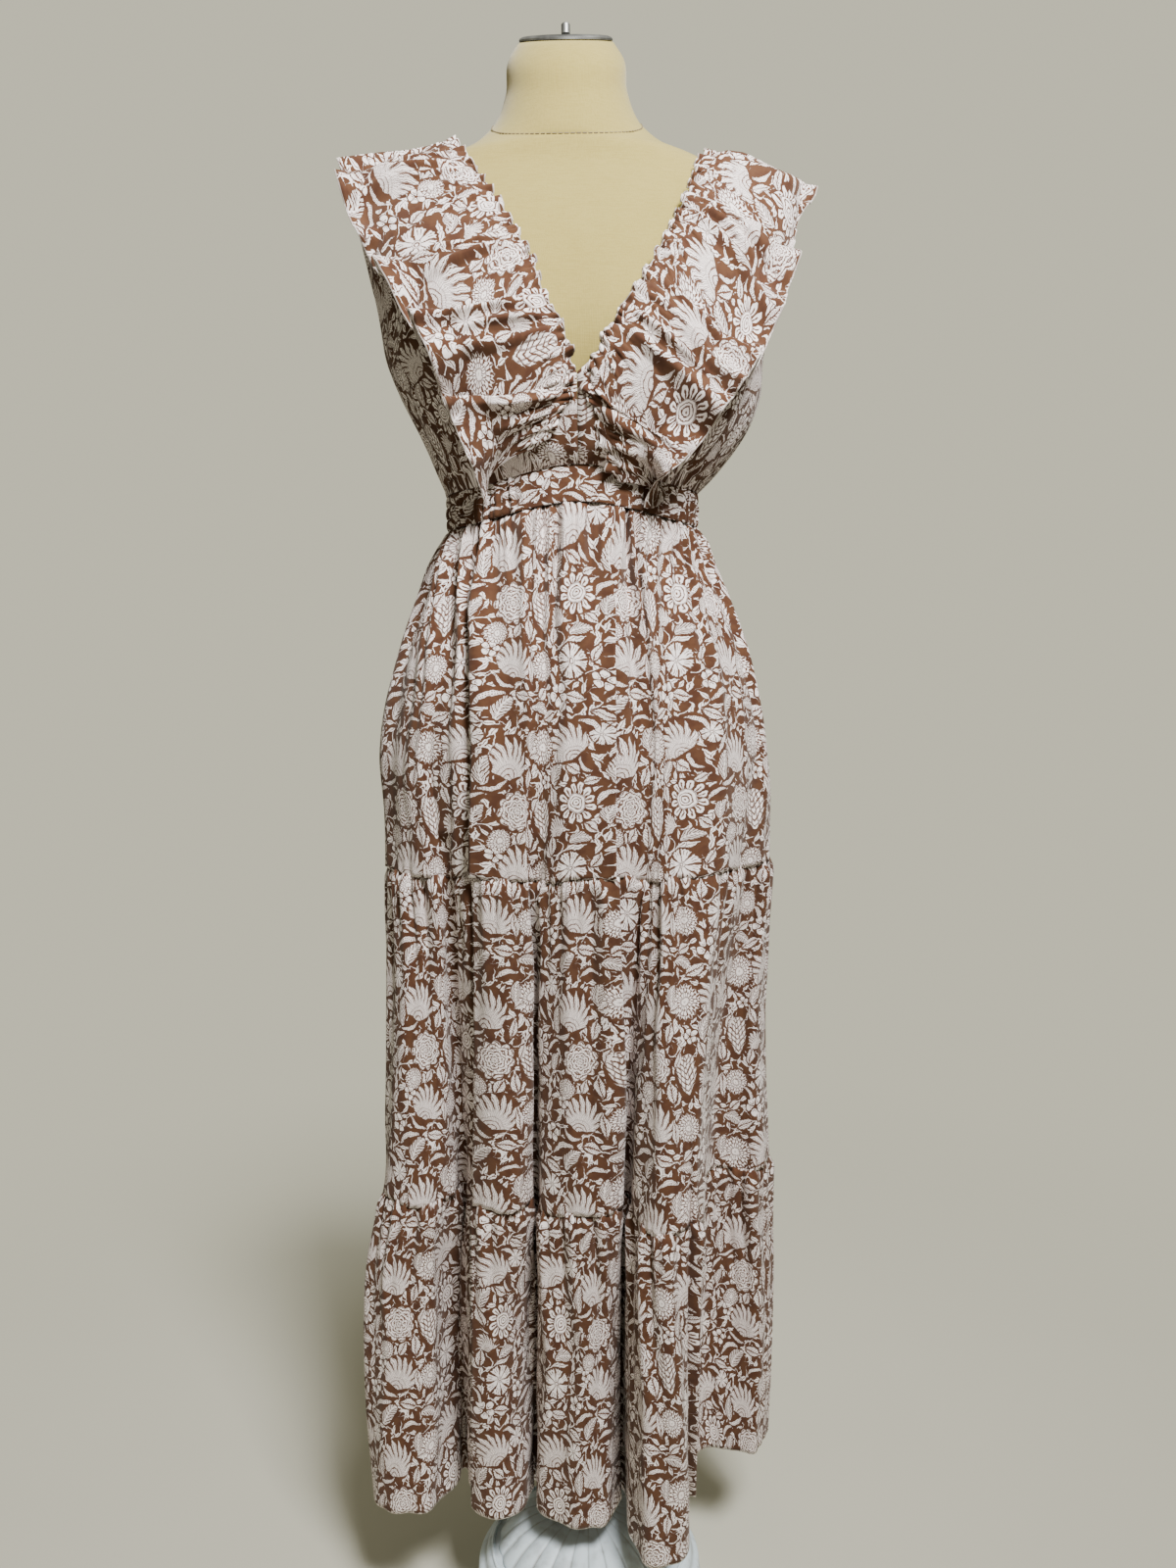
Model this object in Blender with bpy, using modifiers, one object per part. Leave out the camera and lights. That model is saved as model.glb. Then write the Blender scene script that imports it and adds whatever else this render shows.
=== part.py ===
"""A tiered v-neck maxi dress with wide ruffles, on a limbless dress form with a round stand.

Metres, +Z up. The front of the dress faces -Y, and +X is at the right as seen from the front.
The origin is on the floor, under the pole. Each cloth panel starts as a flat grid, whose points are
moved onto the panel's surface, and is then extruded inwards by the thickness of its cloth.
"""

import math

import bmesh
import bpy
import numpy as np
from mathutils import Matrix, Vector

# Cloth and seams
CLOTH = 0.0016  # thickness of a cloth wall
BAND = 0.0026  # thickness of the waistband, which is two layers over elastic
SEAM = 0.0003  # space left between pieces at a seam
HALF_SEAM = SEAM / 2

# Heights above the floor
HEM_Z = 0.125
SEAM_LOW_Z = 0.435  # between the middle tier and the lowest
SEAM_HIGH_Z = 0.752  # between the top tier and the middle one
FORM_BOTTOM_Z = 0.800
FORM_TOP_Z = 1.500

# The waistband rises from the sides to the centre front
BAND_SIDE_Z = 1.0645
BAND_HEIGHT = 0.0325
BAND_FRONT_RISE = 0.0145
BAND_HALF_WIDTH = 0.108
BAND_INSET = 0.001  # behind the bodice's outer face
BAND_STEPS = 30
BAND_RIPPLES = 10
BAND_RIPPLE_DEPTH = 0.0009
CENTRE_X = 0.006  # the centre front seam stands a little right of the pole

# Stand
POLE_RADIUS = 0.0125
POLE_SIDES = 24
FLANGE_RADIUS = 0.036
FLANGE_HEIGHT = 0.008
FLANGE_Z = FORM_BOTTOM_Z - SEAM - FLANGE_HEIGHT
FOOT_HEIGHT = 0.060
FOOT_OUTLINE = (  # radius and height, from the top down
    (0.0900, FOOT_HEIGHT),
    (0.1000, 0.058),
    (0.1030, 0.052),
    (0.1090, 0.047),
    (0.1110, 0.041),
    (0.1090, 0.036),
    (0.1120, 0.032),
    (0.1120, 0.004),
    (0.1085, 0.000),
)
DOME_TOP_Z = 0.110
DOME_OUTLINE = (  # radius, height, and how deep the flutes are as a share of the radius
    (0.0890, FOOT_HEIGHT + SEAM, 0.000),
    (0.0890, 0.064, 0.045),
    (0.0740, 0.079, 0.075),
    (0.0520, 0.090, 0.075),
    (0.0280, 0.0965, 0.030),
    (0.0230, DOME_TOP_Z, 0.000),
)
DOME_FLUTES = 24
TURNED_SIDES = 36

# Cap and pin on the neck
CAP_RADIUS = 0.0425
CAP_DEPTH_SHARE = 0.88  # the neck is narrower from front to back
CAP_HEIGHT = 0.0052
CAP_EDGE = 0.0012
PIN_RADIUS = 0.0042
PIN_HEIGHT = 0.0120
PIN_SIDES = 16

# The dress form: each row is a level section, from the hips to the neck
FORM_COLUMNS = ("z", "half_width", "front", "back", "squareness")
FORM = (
    (0.800, 0.1560, 0.096, 0.110, 2.15),
    (0.840, 0.1640, 0.102, 0.118, 2.15),
    (0.890, 0.1640, 0.104, 0.116, 2.15),
    (0.945, 0.1500, 0.097, 0.103, 2.15),
    (1.005, 0.1220, 0.082, 0.084, 2.15),
    (1.075, 0.1020, 0.074, 0.073, 2.15),
    (1.125, 0.1080, 0.083, 0.078, 2.20),
    (1.175, 0.1290, 0.100, 0.087, 2.30),
    (1.215, 0.1410, 0.105, 0.092, 2.40),
    (1.260, 0.1490, 0.098, 0.095, 2.45),
    (1.305, 0.1580, 0.084, 0.092, 2.50),
    (1.340, 0.1660, 0.069, 0.080, 2.50),
    (1.362, 0.1640, 0.059, 0.069, 2.40),
    (1.378, 0.1480, 0.053, 0.061, 2.25),
    (1.394, 0.1200, 0.051, 0.056, 2.10),
    (1.410, 0.0890, 0.050, 0.053, 2.05),
    (1.428, 0.0680, 0.050, 0.053, 2.00),
    (1.455, 0.0555, 0.046, 0.048, 2.00),
    (1.487, 0.0515, 0.044, 0.045, 2.00),
    (1.500, 0.0430, 0.038, 0.038, 2.00),
)
FORM_SIDES = 32
BUST_Z = 1.205
BUST_X = 0.074
BUST_RISE = 0.016
BUST_SPREAD_X = 0.045
BUST_SPREAD_Z = 0.055
BUST_FROM = 0.6  # the share of the front's depth beyond which the bust has its full rise
NECK_LEAN = 0.45  # the neck's sections slope down to the front
NECK_LEAN_FROM_Z = 1.390
NECK_LEAN_TO_Z = 1.430

# The bodice, worn loose over the form: level sections again, with the outline of each side
BODICE_COLUMNS = ("z", "left", "right", "front", "back", "squareness")
BODICE = (
    (1.094, 0.1150, 0.1120, 0.0890, 0.0850, 2.2),
    (1.122, 0.1270, 0.1400, 0.1040, 0.0950, 2.3),
    (1.152, 0.1400, 0.1620, 0.1180, 0.1020, 2.4),
    (1.185, 0.1560, 0.1740, 0.1280, 0.1050, 2.4),
    (1.212, 0.1660, 0.1750, 0.1300, 0.1060, 2.5),
    (1.250, 0.1740, 0.1810, 0.1210, 0.1070, 2.5),
    (1.290, 0.1850, 0.1920, 0.1040, 0.1040, 2.6),
    (1.330, 0.1930, 0.2000, 0.0830, 0.0930, 2.6),
    (1.352, 0.1950, 0.2020, 0.0690, 0.0800, 2.5),
    (1.367, 0.1880, 0.1940, 0.0620, 0.0710, 2.4),
    (1.382, 0.1600, 0.1620, 0.0560, 0.0640, 2.2),
    (1.398, 0.1290, 0.1290, 0.0535, 0.0600, 2.1),
    (1.414, 0.0970, 0.0970, 0.0520, 0.0570, 2.1),
)

# The panels' centre or neck edges, and their side or armhole edge, from waist to shoulder.
# left_x and right_x are measured from the centre seam; turn is 0 at the centre, 90 at the side.
PANEL_COLUMNS = ("left_x", "right_x", "inner_z", "outer_turn", "outer_z")
FRONT_PANEL = (
    (0.000, 0.000, 1.1125, 90.0, 1.0975),
    (0.000, 0.000, 1.1360, 90.0, 1.1250),
    (0.000, 0.000, 1.1580, 90.0, 1.1550),
    (0.000, 0.000, 1.1780, 90.0, 1.1850),
    (0.017, 0.034, 1.2040, 90.0, 1.2080),
    (0.032, 0.054, 1.2340, 80.0, 1.2330),
    (0.044, 0.076, 1.2690, 74.0, 1.2620),
    (0.059, 0.095, 1.3030, 72.0, 1.2910),
    (0.075, 0.111, 1.3350, 73.0, 1.3180),
    (0.088, 0.123, 1.3660, 76.0, 1.3400),
    (0.103, 0.131, 1.3890, 82.0, 1.3550),
    (0.112, 0.135, 1.3980, 86.0, 1.3600),
)
BACK_PANEL = (
    (0.000, 0.000, 1.0975, 90.0, 1.0975),
    (0.000, 0.000, 1.1360, 90.0, 1.1250),
    (0.000, 0.000, 1.1780, 90.0, 1.1550),
    (0.000, 0.000, 1.2200, 90.0, 1.1850),
    (0.000, 0.000, 1.2620, 90.0, 1.2080),
    (0.022, 0.024, 1.2860, 80.0, 1.2330),
    (0.041, 0.045, 1.3080, 74.0, 1.2620),
    (0.059, 0.065, 1.3290, 72.0, 1.2910),
    (0.077, 0.085, 1.3500, 73.0, 1.3180),
    (0.094, 0.104, 1.3720, 76.0, 1.3400),
    (0.107, 0.120, 1.3900, 82.0, 1.3550),
    (0.114, 0.129, 1.3985, 86.0, 1.3600),
)
SHOULDER_NECK_Z = {"left": 1.4030, "right": 1.3935}
SHOULDER_TIP_Z = 1.3620
PANEL_ACROSS = 10
PANEL_DROP = 1.3  # how late along a row the panel falls from its neck edge to its armhole
BODICE_GATHERS = 4
BODICE_GATHER_DEPTH = 0.0018
BODICE_GATHER_ROWS = 1.6  # rows of the panel over which the gathers die away
BODICE_GATHER_FROM = (0.22, 0.50)  # the shares of the width over which they grow from the centre
BODICE_GATHER_END = 0.15  # the share of the width over which they fade at the side
SHOULDER_FROM_Z = 1.30  # where the two neck edges start to differ in height
SHOULDER_TO_Z = 1.40
SIDE_SEAM_ROWS = 5  # rows below the armhole
BODICE_CLEARANCE = 0.0016  # from the form to the cloth

# Ruffles: the stitched line on the neck edge and the free edge, from the waist over the shoulder.
# x is measured outwards from the pole's axis on each side.
RUFFLE_COLUMNS = ("neck_x", "neck_z", "free_x", "free_y", "free_z")
LEFT_RUFFLE = (
    (0.032, 1.1210, 0.0750, -0.1150, 1.0900),
    (0.018, 1.1420, 0.0870, -0.1260, 1.1150),
    (0.009, 1.1620, 0.0990, -0.1330, 1.1450),
    (0.008, 1.1860, 0.1090, -0.1370, 1.1730),
    (0.017, 1.2140, 0.1170, -0.1380, 1.1980),
    (0.031, 1.2430, 0.1310, -0.1330, 1.2270),
    (0.043, 1.2790, 0.1500, -0.1150, 1.2580),
    (0.058, 1.3090, 0.1710, -0.0930, 1.2960),
    (0.073, 1.3380, 0.1900, -0.0730, 1.3330),
    (0.087, 1.3660, 0.2010, -0.0520, 1.3640),
    (0.103, 1.3920, 0.2080, -0.0270, 1.3860),
)
RIGHT_RUFFLE = (
    (0.043, 1.0960, 0.0700, -0.1140, 1.0920),
    (0.036, 1.1190, 0.0780, -0.1190, 1.0940),
    (0.028, 1.1430, 0.0860, -0.1270, 1.0990),
    (0.021, 1.1660, 0.0970, -0.1310, 1.1090),
    (0.034, 1.1940, 0.1140, -0.1350, 1.1290),
    (0.051, 1.2210, 0.1310, -0.1370, 1.1510),
    (0.070, 1.2520, 0.1480, -0.1340, 1.1740),
    (0.088, 1.2870, 0.1700, -0.1180, 1.2120),
    (0.104, 1.3170, 0.1890, -0.0930, 1.2560),
    (0.117, 1.3480, 0.2040, -0.0600, 1.3060),
    (0.127, 1.3780, 0.2150, -0.0280, 1.3450),
)
BACK_RUFFLE = (
    (0.112, 1.3960, 0.2060, 0.0280, 1.3780),
    (0.098, 1.3760, 0.1980, 0.0560, 1.3520),
    (0.081, 1.3560, 0.1840, 0.0820, 1.3180),
    (0.063, 1.3350, 0.1600, 0.1040, 1.2820),
    (0.045, 1.3140, 0.1280, 0.1190, 1.2480),
    (0.027, 1.2920, 0.0900, 0.1260, 1.2140),
    (0.014, 1.2750, 0.0480, 0.1290, 1.1800),
    (0.005, 1.2600, 0.0030, 0.1300, 1.1560),
)
BACK_WIDENING = {"left": 0.0, "right": 0.12}  # the right shoulder sits further out
SHOULDER_RUFFLE = {  # the same five columns, where the ruffle crosses the shoulder seam
    "left": (0.1190, 1.4085, 0.2110, 0.0000, 1.4000),
    "right": (0.1390, 1.3975, 0.2260, 0.0000, 1.3660),
}
RUFFLE_ARCH = {"left": 0.011, "right": 0.007}  # how far the shoulder's flounce stands up
# Where one lobe of the flounce laps over the next, in rows of the tables, front then back
LEFT_LAPS = (-0.6, 1.9, 3.2, 4.4, 5.6, 8.4, 12.2, 14.0, 15.6, 17.1, 18.4, 19.6)
RIGHT_LAPS = (-0.6, 2.6, 5.6, 8.0, 9.8, 12.2, 14.0, 15.6, 17.1, 18.4, 19.6)
LAP_DEPTH = 0.0180
LAP_HANG = 0.0070  # how far a lobe hangs over the next one
LAP_STEP = 0.16  # the share of a lobe over which it turns under the next one
RUFFLE_STEPS = 72
RUFFLE_SHARES = (0.0, 0.2, 0.5, 0.8, 1.0)  # columns from the stitched line to the free edge
HEADING_WIDTH = 0.011
HEADING_WAVE = 0.0032
HEADING_APART = 0.0030  # between the two headings, where they meet
RUFFLE_BOW = 0.0100  # how far a flounce bows away from the bodice
RUFFLE_LIFT = 0.0027  # from the bodice's outer face to the stitched line
WAIST_LIFT = 0.0020  # and how much further at the waist, over the bodice's gathers
RUFFLE_SPRING = 0.0140  # the least distance from the bodice to the flounce's outer half
SHOULDER_ROWS = 1.6  # rows of the tables over which the shoulder's arch dies away
WAIST_ROWS = 2.0  # and those over which the lift at the waist does

# Skirt: its outline at each level, and how far the hem's folds have grown there
SKIRT_COLUMNS = ("z", "left", "right", "front", "back", "fold_share")
SKIRT = (
    (1.0800, 0.1140, 0.1110, 0.0865, 0.0840, 0.00),
    (1.0640, 0.1160, 0.1130, 0.0880, 0.0850, 0.00),
    (1.0340, 0.1320, 0.1240, 0.0940, 0.0910, 0.01),
    (1.0060, 0.1435, 0.1385, 0.1010, 0.0980, 0.02),
    (0.9600, 0.1615, 0.1575, 0.1120, 0.1110, 0.03),
    (0.9140, 0.1760, 0.1700, 0.1170, 0.1220, 0.05),
    (0.8600, 0.1850, 0.1800, 0.1190, 0.1260, 0.09),
    (0.8000, 0.1825, 0.1855, 0.1180, 0.1260, 0.16),
    (0.7520, 0.1815, 0.1860, 0.1160, 0.1240, 0.25),
    (0.6400, 0.1850, 0.1835, 0.1110, 0.1200, 0.48),
    (0.5300, 0.1890, 0.1840, 0.1060, 0.1180, 0.66),
    (0.4350, 0.1945, 0.1890, 0.1030, 0.1170, 0.79),
    (0.3700, 0.2090, 0.1905, 0.1020, 0.1180, 0.88),
    (0.3000, 0.2150, 0.1930, 0.1010, 0.1200, 0.95),
    (0.1250, 0.2130, 0.1880, 0.1000, 0.1200, 1.00),
)
# The hem seen from above: where each fold's crest or valley stands, by its angle on the hips.
# 180 is the left side, 270 the centre front, 360 the right side, 90 the centre back.
HEM_COLUMNS = ("angle", "x", "y")
HEM = (
    (0.0, 0.1880, 0.062),
    (10.0, 0.1900, 0.088),
    (22.0, 0.1700, 0.109),
    (34.0, 0.1430, 0.100),
    (45.0, 0.1200, 0.080),
    (57.0, 0.0940, 0.110),
    (70.0, 0.0600, 0.130),
    (82.0, 0.0280, 0.110),
    (92.0, 0.0000, 0.090),
    (104.0, -0.0350, 0.122),
    (117.0, -0.0700, 0.132),
    (129.0, -0.1030, 0.110),
    (139.0, -0.1270, 0.086),
    (150.0, -0.1580, 0.104),
    (162.0, -0.1900, 0.090),
    (171.0, -0.2080, 0.048),
    (180.0, -0.2125, 0.002),
    (192.0, -0.2080, -0.030),
    (203.0, -0.1860, -0.045),
    (213.0, -0.1560, -0.043),
    (222.0, -0.1360, -0.014),
    (228.0, -0.1260, 0.018),
    (234.0, -0.1160, -0.012),
    (241.0, -0.1020, -0.044),
    (248.0, -0.0820, -0.054),
    (255.0, -0.0650, -0.036),
    (259.0, -0.0570, -0.008),
    (264.0, -0.0480, -0.042),
    (270.0, -0.0280, -0.062),
    (279.0, 0.0020, -0.069),
    (287.0, 0.0175, -0.058),
    (292.0, 0.0290, -0.026),
    (297.0, 0.0405, -0.080),
    (304.0, 0.0490, -0.112),
    (312.0, 0.0720, -0.120),
    (320.0, 0.0920, -0.100),
    (326.0, 0.0990, -0.052),
    (331.0, 0.1050, 0.006),
    (336.0, 0.1160, 0.040),
    (343.0, 0.1400, 0.044),
    (351.0, 0.1690, 0.036),
)
FRONT_STEPS = 57
HIP_SHARE = 1.5  # how far the columns follow the hips' outline rather than the hem's
BACK_STEPS = 33
COLUMNS_PER_GATHER = 3
GATHER_DEPTH = 0.0030  # of the small gathers under a seam
GATHER_FADE = 0.085  # the drop over which they die away
GATHER_START = 0.35  # the share of their depth at the seam itself
GATHER_FULL_DROP = 0.025
FORM_CLEARANCE = 0.0036
TIERS = (
    ("top", (1.040, 0.990, 0.925, 0.845), SEAM_HIGH_Z),
    ("middle", (0.722, 0.620), SEAM_LOW_Z),
    ("lowest", (0.402, 0.310), HEM_Z),
)

COLOURS = {
    "cotton": (0.47, 0.31, 0.23, 0.9, 0.0),
    "form_cover": (0.76, 0.70, 0.52, 0.9, 0.0),
    "steel": (0.45, 0.45, 0.45, 0.35, 1.0),
    "white_iron": (0.74, 0.77, 0.77, 0.5, 0.0),
}


def column(table, columns, name):
    """One named column of a table, as an array."""
    return np.array(table, float)[:, columns.index(name)]


def smooth(knots, values, at, period=None):
    """Values between the rows of a table, on a smooth curve through them."""
    knots, values = np.asarray(knots, float), np.asarray(values, float)
    at = np.asarray(at, float)
    if period:
        knots = np.concatenate([knots[-2:] - period, knots, knots[:2] + period])
        values = np.concatenate([values[-2:], values, values[:2]])
        at = np.mod(at, period)
    slopes = np.gradient(values, knots)
    cell = np.clip(np.searchsorted(knots, at, side="right") - 1, 0, len(knots) - 2)
    width = knots[cell + 1] - knots[cell]
    t = np.clip((at - knots[cell]) / width, 0.0, 1.0)
    low = values[cell] * (1 + 2 * t) * (1 - t) ** 2 + slopes[cell] * width * t * (1 - t) ** 2
    return low + values[cell + 1] * t**2 * (3 - 2 * t) - slopes[cell + 1] * width * t**2 * (1 - t)


def looked_up(table, columns, name, at):
    """A named column read at some heights, for a table whose first column is z."""
    z = column(table, columns, "z")
    order = np.argsort(z)
    return smooth(z[order], column(table, columns, name)[order], at)


def eased(low, high, at):
    """0 below low, 1 above high, and smooth between."""
    t = np.clip((at - low) / (high - low), 0.0, 1.0)
    return t * t * (3 - 2 * t)


def rounded(turn, squareness):
    """(across, along) on a unit oval, for an angle that is 0 at +across and 90 at +along."""
    c, s = np.cos(turn), np.sin(turn)
    power = 2.0 / squareness
    return np.sign(c) * np.abs(c) ** power, np.sign(s) * np.abs(s) ** power


def bust_rise(x, z):
    """How far the bust of the form stands out of its plain oval section."""
    across = np.exp(-(((np.abs(x) - BUST_X) / BUST_SPREAD_X) ** 2))
    return BUST_RISE * across * np.exp(-(((z - BUST_Z) / BUST_SPREAD_Z) ** 2))


def neck_lean(z):
    """The slope of the form's section at a height."""
    return NECK_LEAN * eased(NECK_LEAN_FROM_Z, NECK_LEAN_TO_Z, z)


def form_ring(z, sides):
    """The form's section that is at height z on its side line."""
    turn = np.arange(sides) * 2 * np.pi / sides
    across, along = rounded(turn, looked_up(FORM, FORM_COLUMNS, "squareness", z))
    x = across * looked_up(FORM, FORM_COLUMNS, "half_width", z)
    depth = np.where(
        along < 0,
        looked_up(FORM, FORM_COLUMNS, "front", z),
        looked_up(FORM, FORM_COLUMNS, "back", z),
    )
    y = along * depth - bust_rise(x, z) * eased(0.0, BUST_FROM, -along)
    return np.stack([x, y, z + neck_lean(z) * y], axis=1)


def within_oval(x, y, half_width, depth, squareness):
    """Below 0 inside an oval section, above 0 outside it."""
    reach = (np.abs(x) / half_width) ** squareness + (np.abs(y) / depth) ** squareness
    return reach ** (1 / squareness) - 1


def form_field(points):
    """Below 0 inside the form, above 0 outside it."""
    x, y, z = points.T
    level = z
    for _ in range(3):
        level = z - neck_lean(level) * y
    front = looked_up(FORM, FORM_COLUMNS, "front", level)
    depth = np.where(y < 0, front, looked_up(FORM, FORM_COLUMNS, "back", level))
    y = y + bust_rise(x, level) * eased(0.0, BUST_FROM * front, -y)
    n = looked_up(FORM, FORM_COLUMNS, "squareness", level)
    return within_oval(x, y, looked_up(FORM, FORM_COLUMNS, "half_width", level), depth, n)


def bodice_field(points):
    """Below 0 inside the bodice's outline, above 0 outside it."""
    x, y, z = points.T
    size = {name: looked_up(BODICE, BODICE_COLUMNS, name, z) for name in BODICE_COLUMNS[1:]}
    width = np.where(x < 0, size["left"], size["right"])
    depth = np.where(y < 0, size["front"], size["back"])
    return within_oval(x, y, width, depth, size["squareness"])


def clear_of(field, grid, space):
    """The grid, with each point that is nearer a shape than space moved straight off it."""
    points = grid.reshape(-1, 3).copy()
    space = np.broadcast_to(space, grid.shape[:-1]).reshape(-1)
    step = 2e-4
    for _ in range(4):
        slope = np.stack(
            [(field(points + way) - field(points - way)) / (2 * step) for way in np.eye(3) * step],
            axis=1,
        )
        steepness = np.maximum(np.linalg.norm(slope, axis=1), 1e-6)
        push = np.maximum(space - field(points) / steepness, 0.0)
        points += slope / steepness[:, None] * push[:, None]
    return points.reshape(grid.shape)


def clear_of_form(grid, space):
    """The grid moved off the form, wherever it is beside the form."""
    z = grid[..., 2]
    beside = (z > FORM_BOTTOM_Z - 0.01) & (z < FORM_TOP_Z - 0.03)
    return np.where(beside[..., None], clear_of(form_field, grid, space), grid)


def normals_of(grid):
    """Unit normals of a grid of points, from its rows and columns."""
    along = np.gradient(grid, axis=0)
    across = np.gradient(grid, axis=1)
    normal = np.cross(across, along)
    return normal / np.maximum(np.linalg.norm(normal, axis=2, keepdims=True), 1e-9)


def wall(name, outer, thickness, material, flat=()):
    """A closed wall of cloth: a flat grid moved onto its outer points, then extruded inwards.

    flat names the edges that meet a neighbour, and the axes along which they must not be moved.
    """
    normal = normals_of(outer)
    rims = {"bottom": np.s_[0, :], "top": np.s_[-1, :], "start": np.s_[:, 0], "end": np.s_[:, -1]}
    for edge, *axes in flat:
        for axis in axes:
            normal[rims[edge] + (axis,)] = 0.0
    normal /= np.maximum(np.linalg.norm(normal, axis=2, keepdims=True), 1e-9)
    rows, across = outer.shape[:2]
    mesh = bmesh.new()
    bmesh.ops.create_grid(mesh, x_segments=across - 1, y_segments=rows - 1, size=0.5)
    place = mesh.verts.layers.int.new("place")
    for vert in mesh.verts:
        j = round((vert.co.x + 0.5) * (across - 1))
        i = round((vert.co.y + 0.5) * (rows - 1))
        vert[place] = i * across + j
        vert.co = outer[i, j]
    bmesh.ops.triangulate(mesh, faces=mesh.faces[:], quad_method="SHORT_EDGE")
    kept = set(mesh.verts)
    bmesh.ops.extrude_face_region(mesh, geom=mesh.faces[:], use_keep_orig=True)
    inward = -thickness * normal.reshape(-1, 3)
    for vert in mesh.verts:
        if vert not in kept:
            vert.co += Vector(inward[vert[place]])
    return finished(name, mesh, material)


def finished(name, mesh, material, smooth_angle=40.0):
    """The named object that holds a bmesh, with its faces outwards and its material."""
    bmesh.ops.recalc_face_normals(mesh, faces=mesh.faces[:])
    data = bpy.data.meshes.new(name)
    mesh.to_mesh(data)
    mesh.free()
    data.shade_smooth()
    data.set_sharp_from_angle(angle=math.radians(smooth_angle))
    data.materials.append(bpy.data.materials[material])
    obj = bpy.data.objects.new(name, data)
    PARTS.objects.link(obj)
    return obj


def loft(name, rings, material):
    """A closed solid through level rings of the same number of points, with flat ends."""
    mesh = bmesh.new()
    layers = [[mesh.verts.new(tuple(point)) for point in ring] for ring in rings]
    for low, high in zip(layers, layers[1:]):
        for corner, following in zip(range(-1, len(low) - 1), range(len(low))):
            mesh.faces.new((low[corner], low[following], high[following], high[corner]))
    mesh.faces.new(layers[0][::-1])
    mesh.faces.new(layers[-1])
    return finished(name, mesh, material)


def turned(name, outline, material):
    """A solid turned from (radius, height) rows that run from the top down its outer side."""
    mesh = bmesh.new()
    rows = [(0.0, outline[0][1]), *outline, (0.0, outline[-1][1])]
    points = [mesh.verts.new((radius, 0.0, z)) for radius, z in rows]
    for high, low in zip(points, points[1:]):
        mesh.edges.new((high, low))
    obj = finished(name, mesh, material)
    screw = obj.modifiers.new("turned", "SCREW")
    screw.steps = screw.render_steps = TURNED_SIDES
    screw.use_merge_vertices = True
    screw.merge_threshold = 1e-5
    return obj


def rod(name, radius, low_z, high_z, sides, material):
    """An upright round rod on the pole's axis."""
    mesh = bmesh.new()
    bmesh.ops.create_cone(
        mesh, cap_ends=True, segments=sides, radius1=radius, radius2=radius, depth=high_z - low_z
    )
    bmesh.ops.translate(mesh, verts=mesh.verts[:], vec=(0, 0, (low_z + high_z) / 2))
    return finished(name, mesh, material)


def bodice_grid(side, panel, is_back):
    """Outer points of one bodice panel, rows from the waist to the shoulder."""
    rows = np.array(panel, float)
    share = np.linspace(0, 1, PANEL_ACROSS + 1)
    grid = []
    for row in rows:
        inner_z = row[PANEL_COLUMNS.index("inner_z")]
        drop = SHOULDER_NECK_Z["left"] - SHOULDER_NECK_Z[side]
        inner_z -= drop * eased(SHOULDER_FROM_Z, SHOULDER_TO_Z, inner_z)
        z = inner_z + (row[PANEL_COLUMNS.index("outer_z")] - inner_z) * share**PANEL_DROP
        width = looked_up(BODICE, BODICE_COLUMNS, side, z)
        n = looked_up(BODICE, BODICE_COLUMNS, "squareness", z)
        reach = min(row[PANEL_COLUMNS.index(f"{side}_x")] / width[0], 1.0) ** (n[0] / 2)
        start = math.asin(reach)
        turn = start + (math.radians(row[PANEL_COLUMNS.index("outer_turn")]) - start) * share
        grid.append(bodice_row(side, is_back, turn, z, width, n))
    z = np.linspace(SHOULDER_NECK_Z[side], SHOULDER_TIP_Z, PANEL_ACROSS + 1)
    width = looked_up(BODICE, BODICE_COLUMNS, side, z)
    grid.append(bodice_row(side, is_back, np.full(z.shape, np.pi / 2), z, width, 2.0))
    return np.array(grid)


def bodice_row(side, is_back, turn, z, width, squareness):
    """Points of one row of a panel; turn is 0 at the centre seam and a quarter turn at the side."""
    along, across = rounded(turn, squareness)
    depth = looked_up(BODICE, BODICE_COLUMNS, "back" if is_back else "front", z)
    sign = -1 if side == "left" else 1
    ease = (1 - eased(0.0, 0.5, across)) * CENTRE_X * (not is_back)
    return np.stack([sign * width * across + ease, (1 if is_back else -1) * depth * along, z], axis=1)


def bodice_panel(side, is_back):
    """One of the four bodice panels, gathered into the waistband."""
    panel = BACK_PANEL if is_back else FRONT_PANEL
    grid = bodice_grid(side, panel, is_back)
    share = np.linspace(0, 1, grid.shape[1])
    fade = np.exp(-np.arange(grid.shape[0]) / BODICE_GATHER_ROWS)[:, None]
    inset = eased(*BODICE_GATHER_FROM, share) * eased(0.0, BODICE_GATHER_END, 1 - share)
    wave = np.sin(2 * np.pi * BODICE_GATHERS * share) * inset * facing(side, is_back)
    grid = grid + normals_of(grid) * (wave * fade * BODICE_GATHER_DEPTH)[..., None]
    grid = clear_of_form(grid, CLOTH + BODICE_CLEARANCE)
    seam_y = HALF_SEAM if is_back else -HALF_SEAM
    grid[-1, :, 1] = seam_y
    grid[:SIDE_SEAM_ROWS, -1, 1] = seam_y
    sign = -1 if side == "left" else 1
    centre = 0.0 if is_back else CENTRE_X
    closed_rows = sum(row[0] == 0.0 for row in panel)
    grid[:closed_rows, 0, 0] = centre + sign * HALF_SEAM
    grid[0, :, 2] = band_edge(grid[0], is_back) + BAND_HEIGHT + HALF_SEAM
    outwards = facing(side, is_back) > 0
    centre_edge, side_edge = ("start", "end") if outwards else ("end", "start")
    flat = (("bottom", 2), (side_edge, 1), (centre_edge, 0), ("top", 1))
    name = f"bodice_{'back' if is_back else 'front'}_{side}"
    wall(name, grid if outwards else grid[:, ::-1], CLOTH, "cotton", flat)


def facing(side, is_back):
    """1 where a panel's rows run so that its normals point outwards, and -1 where they don't."""
    return 1 if (side == "right") != is_back else -1


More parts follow.
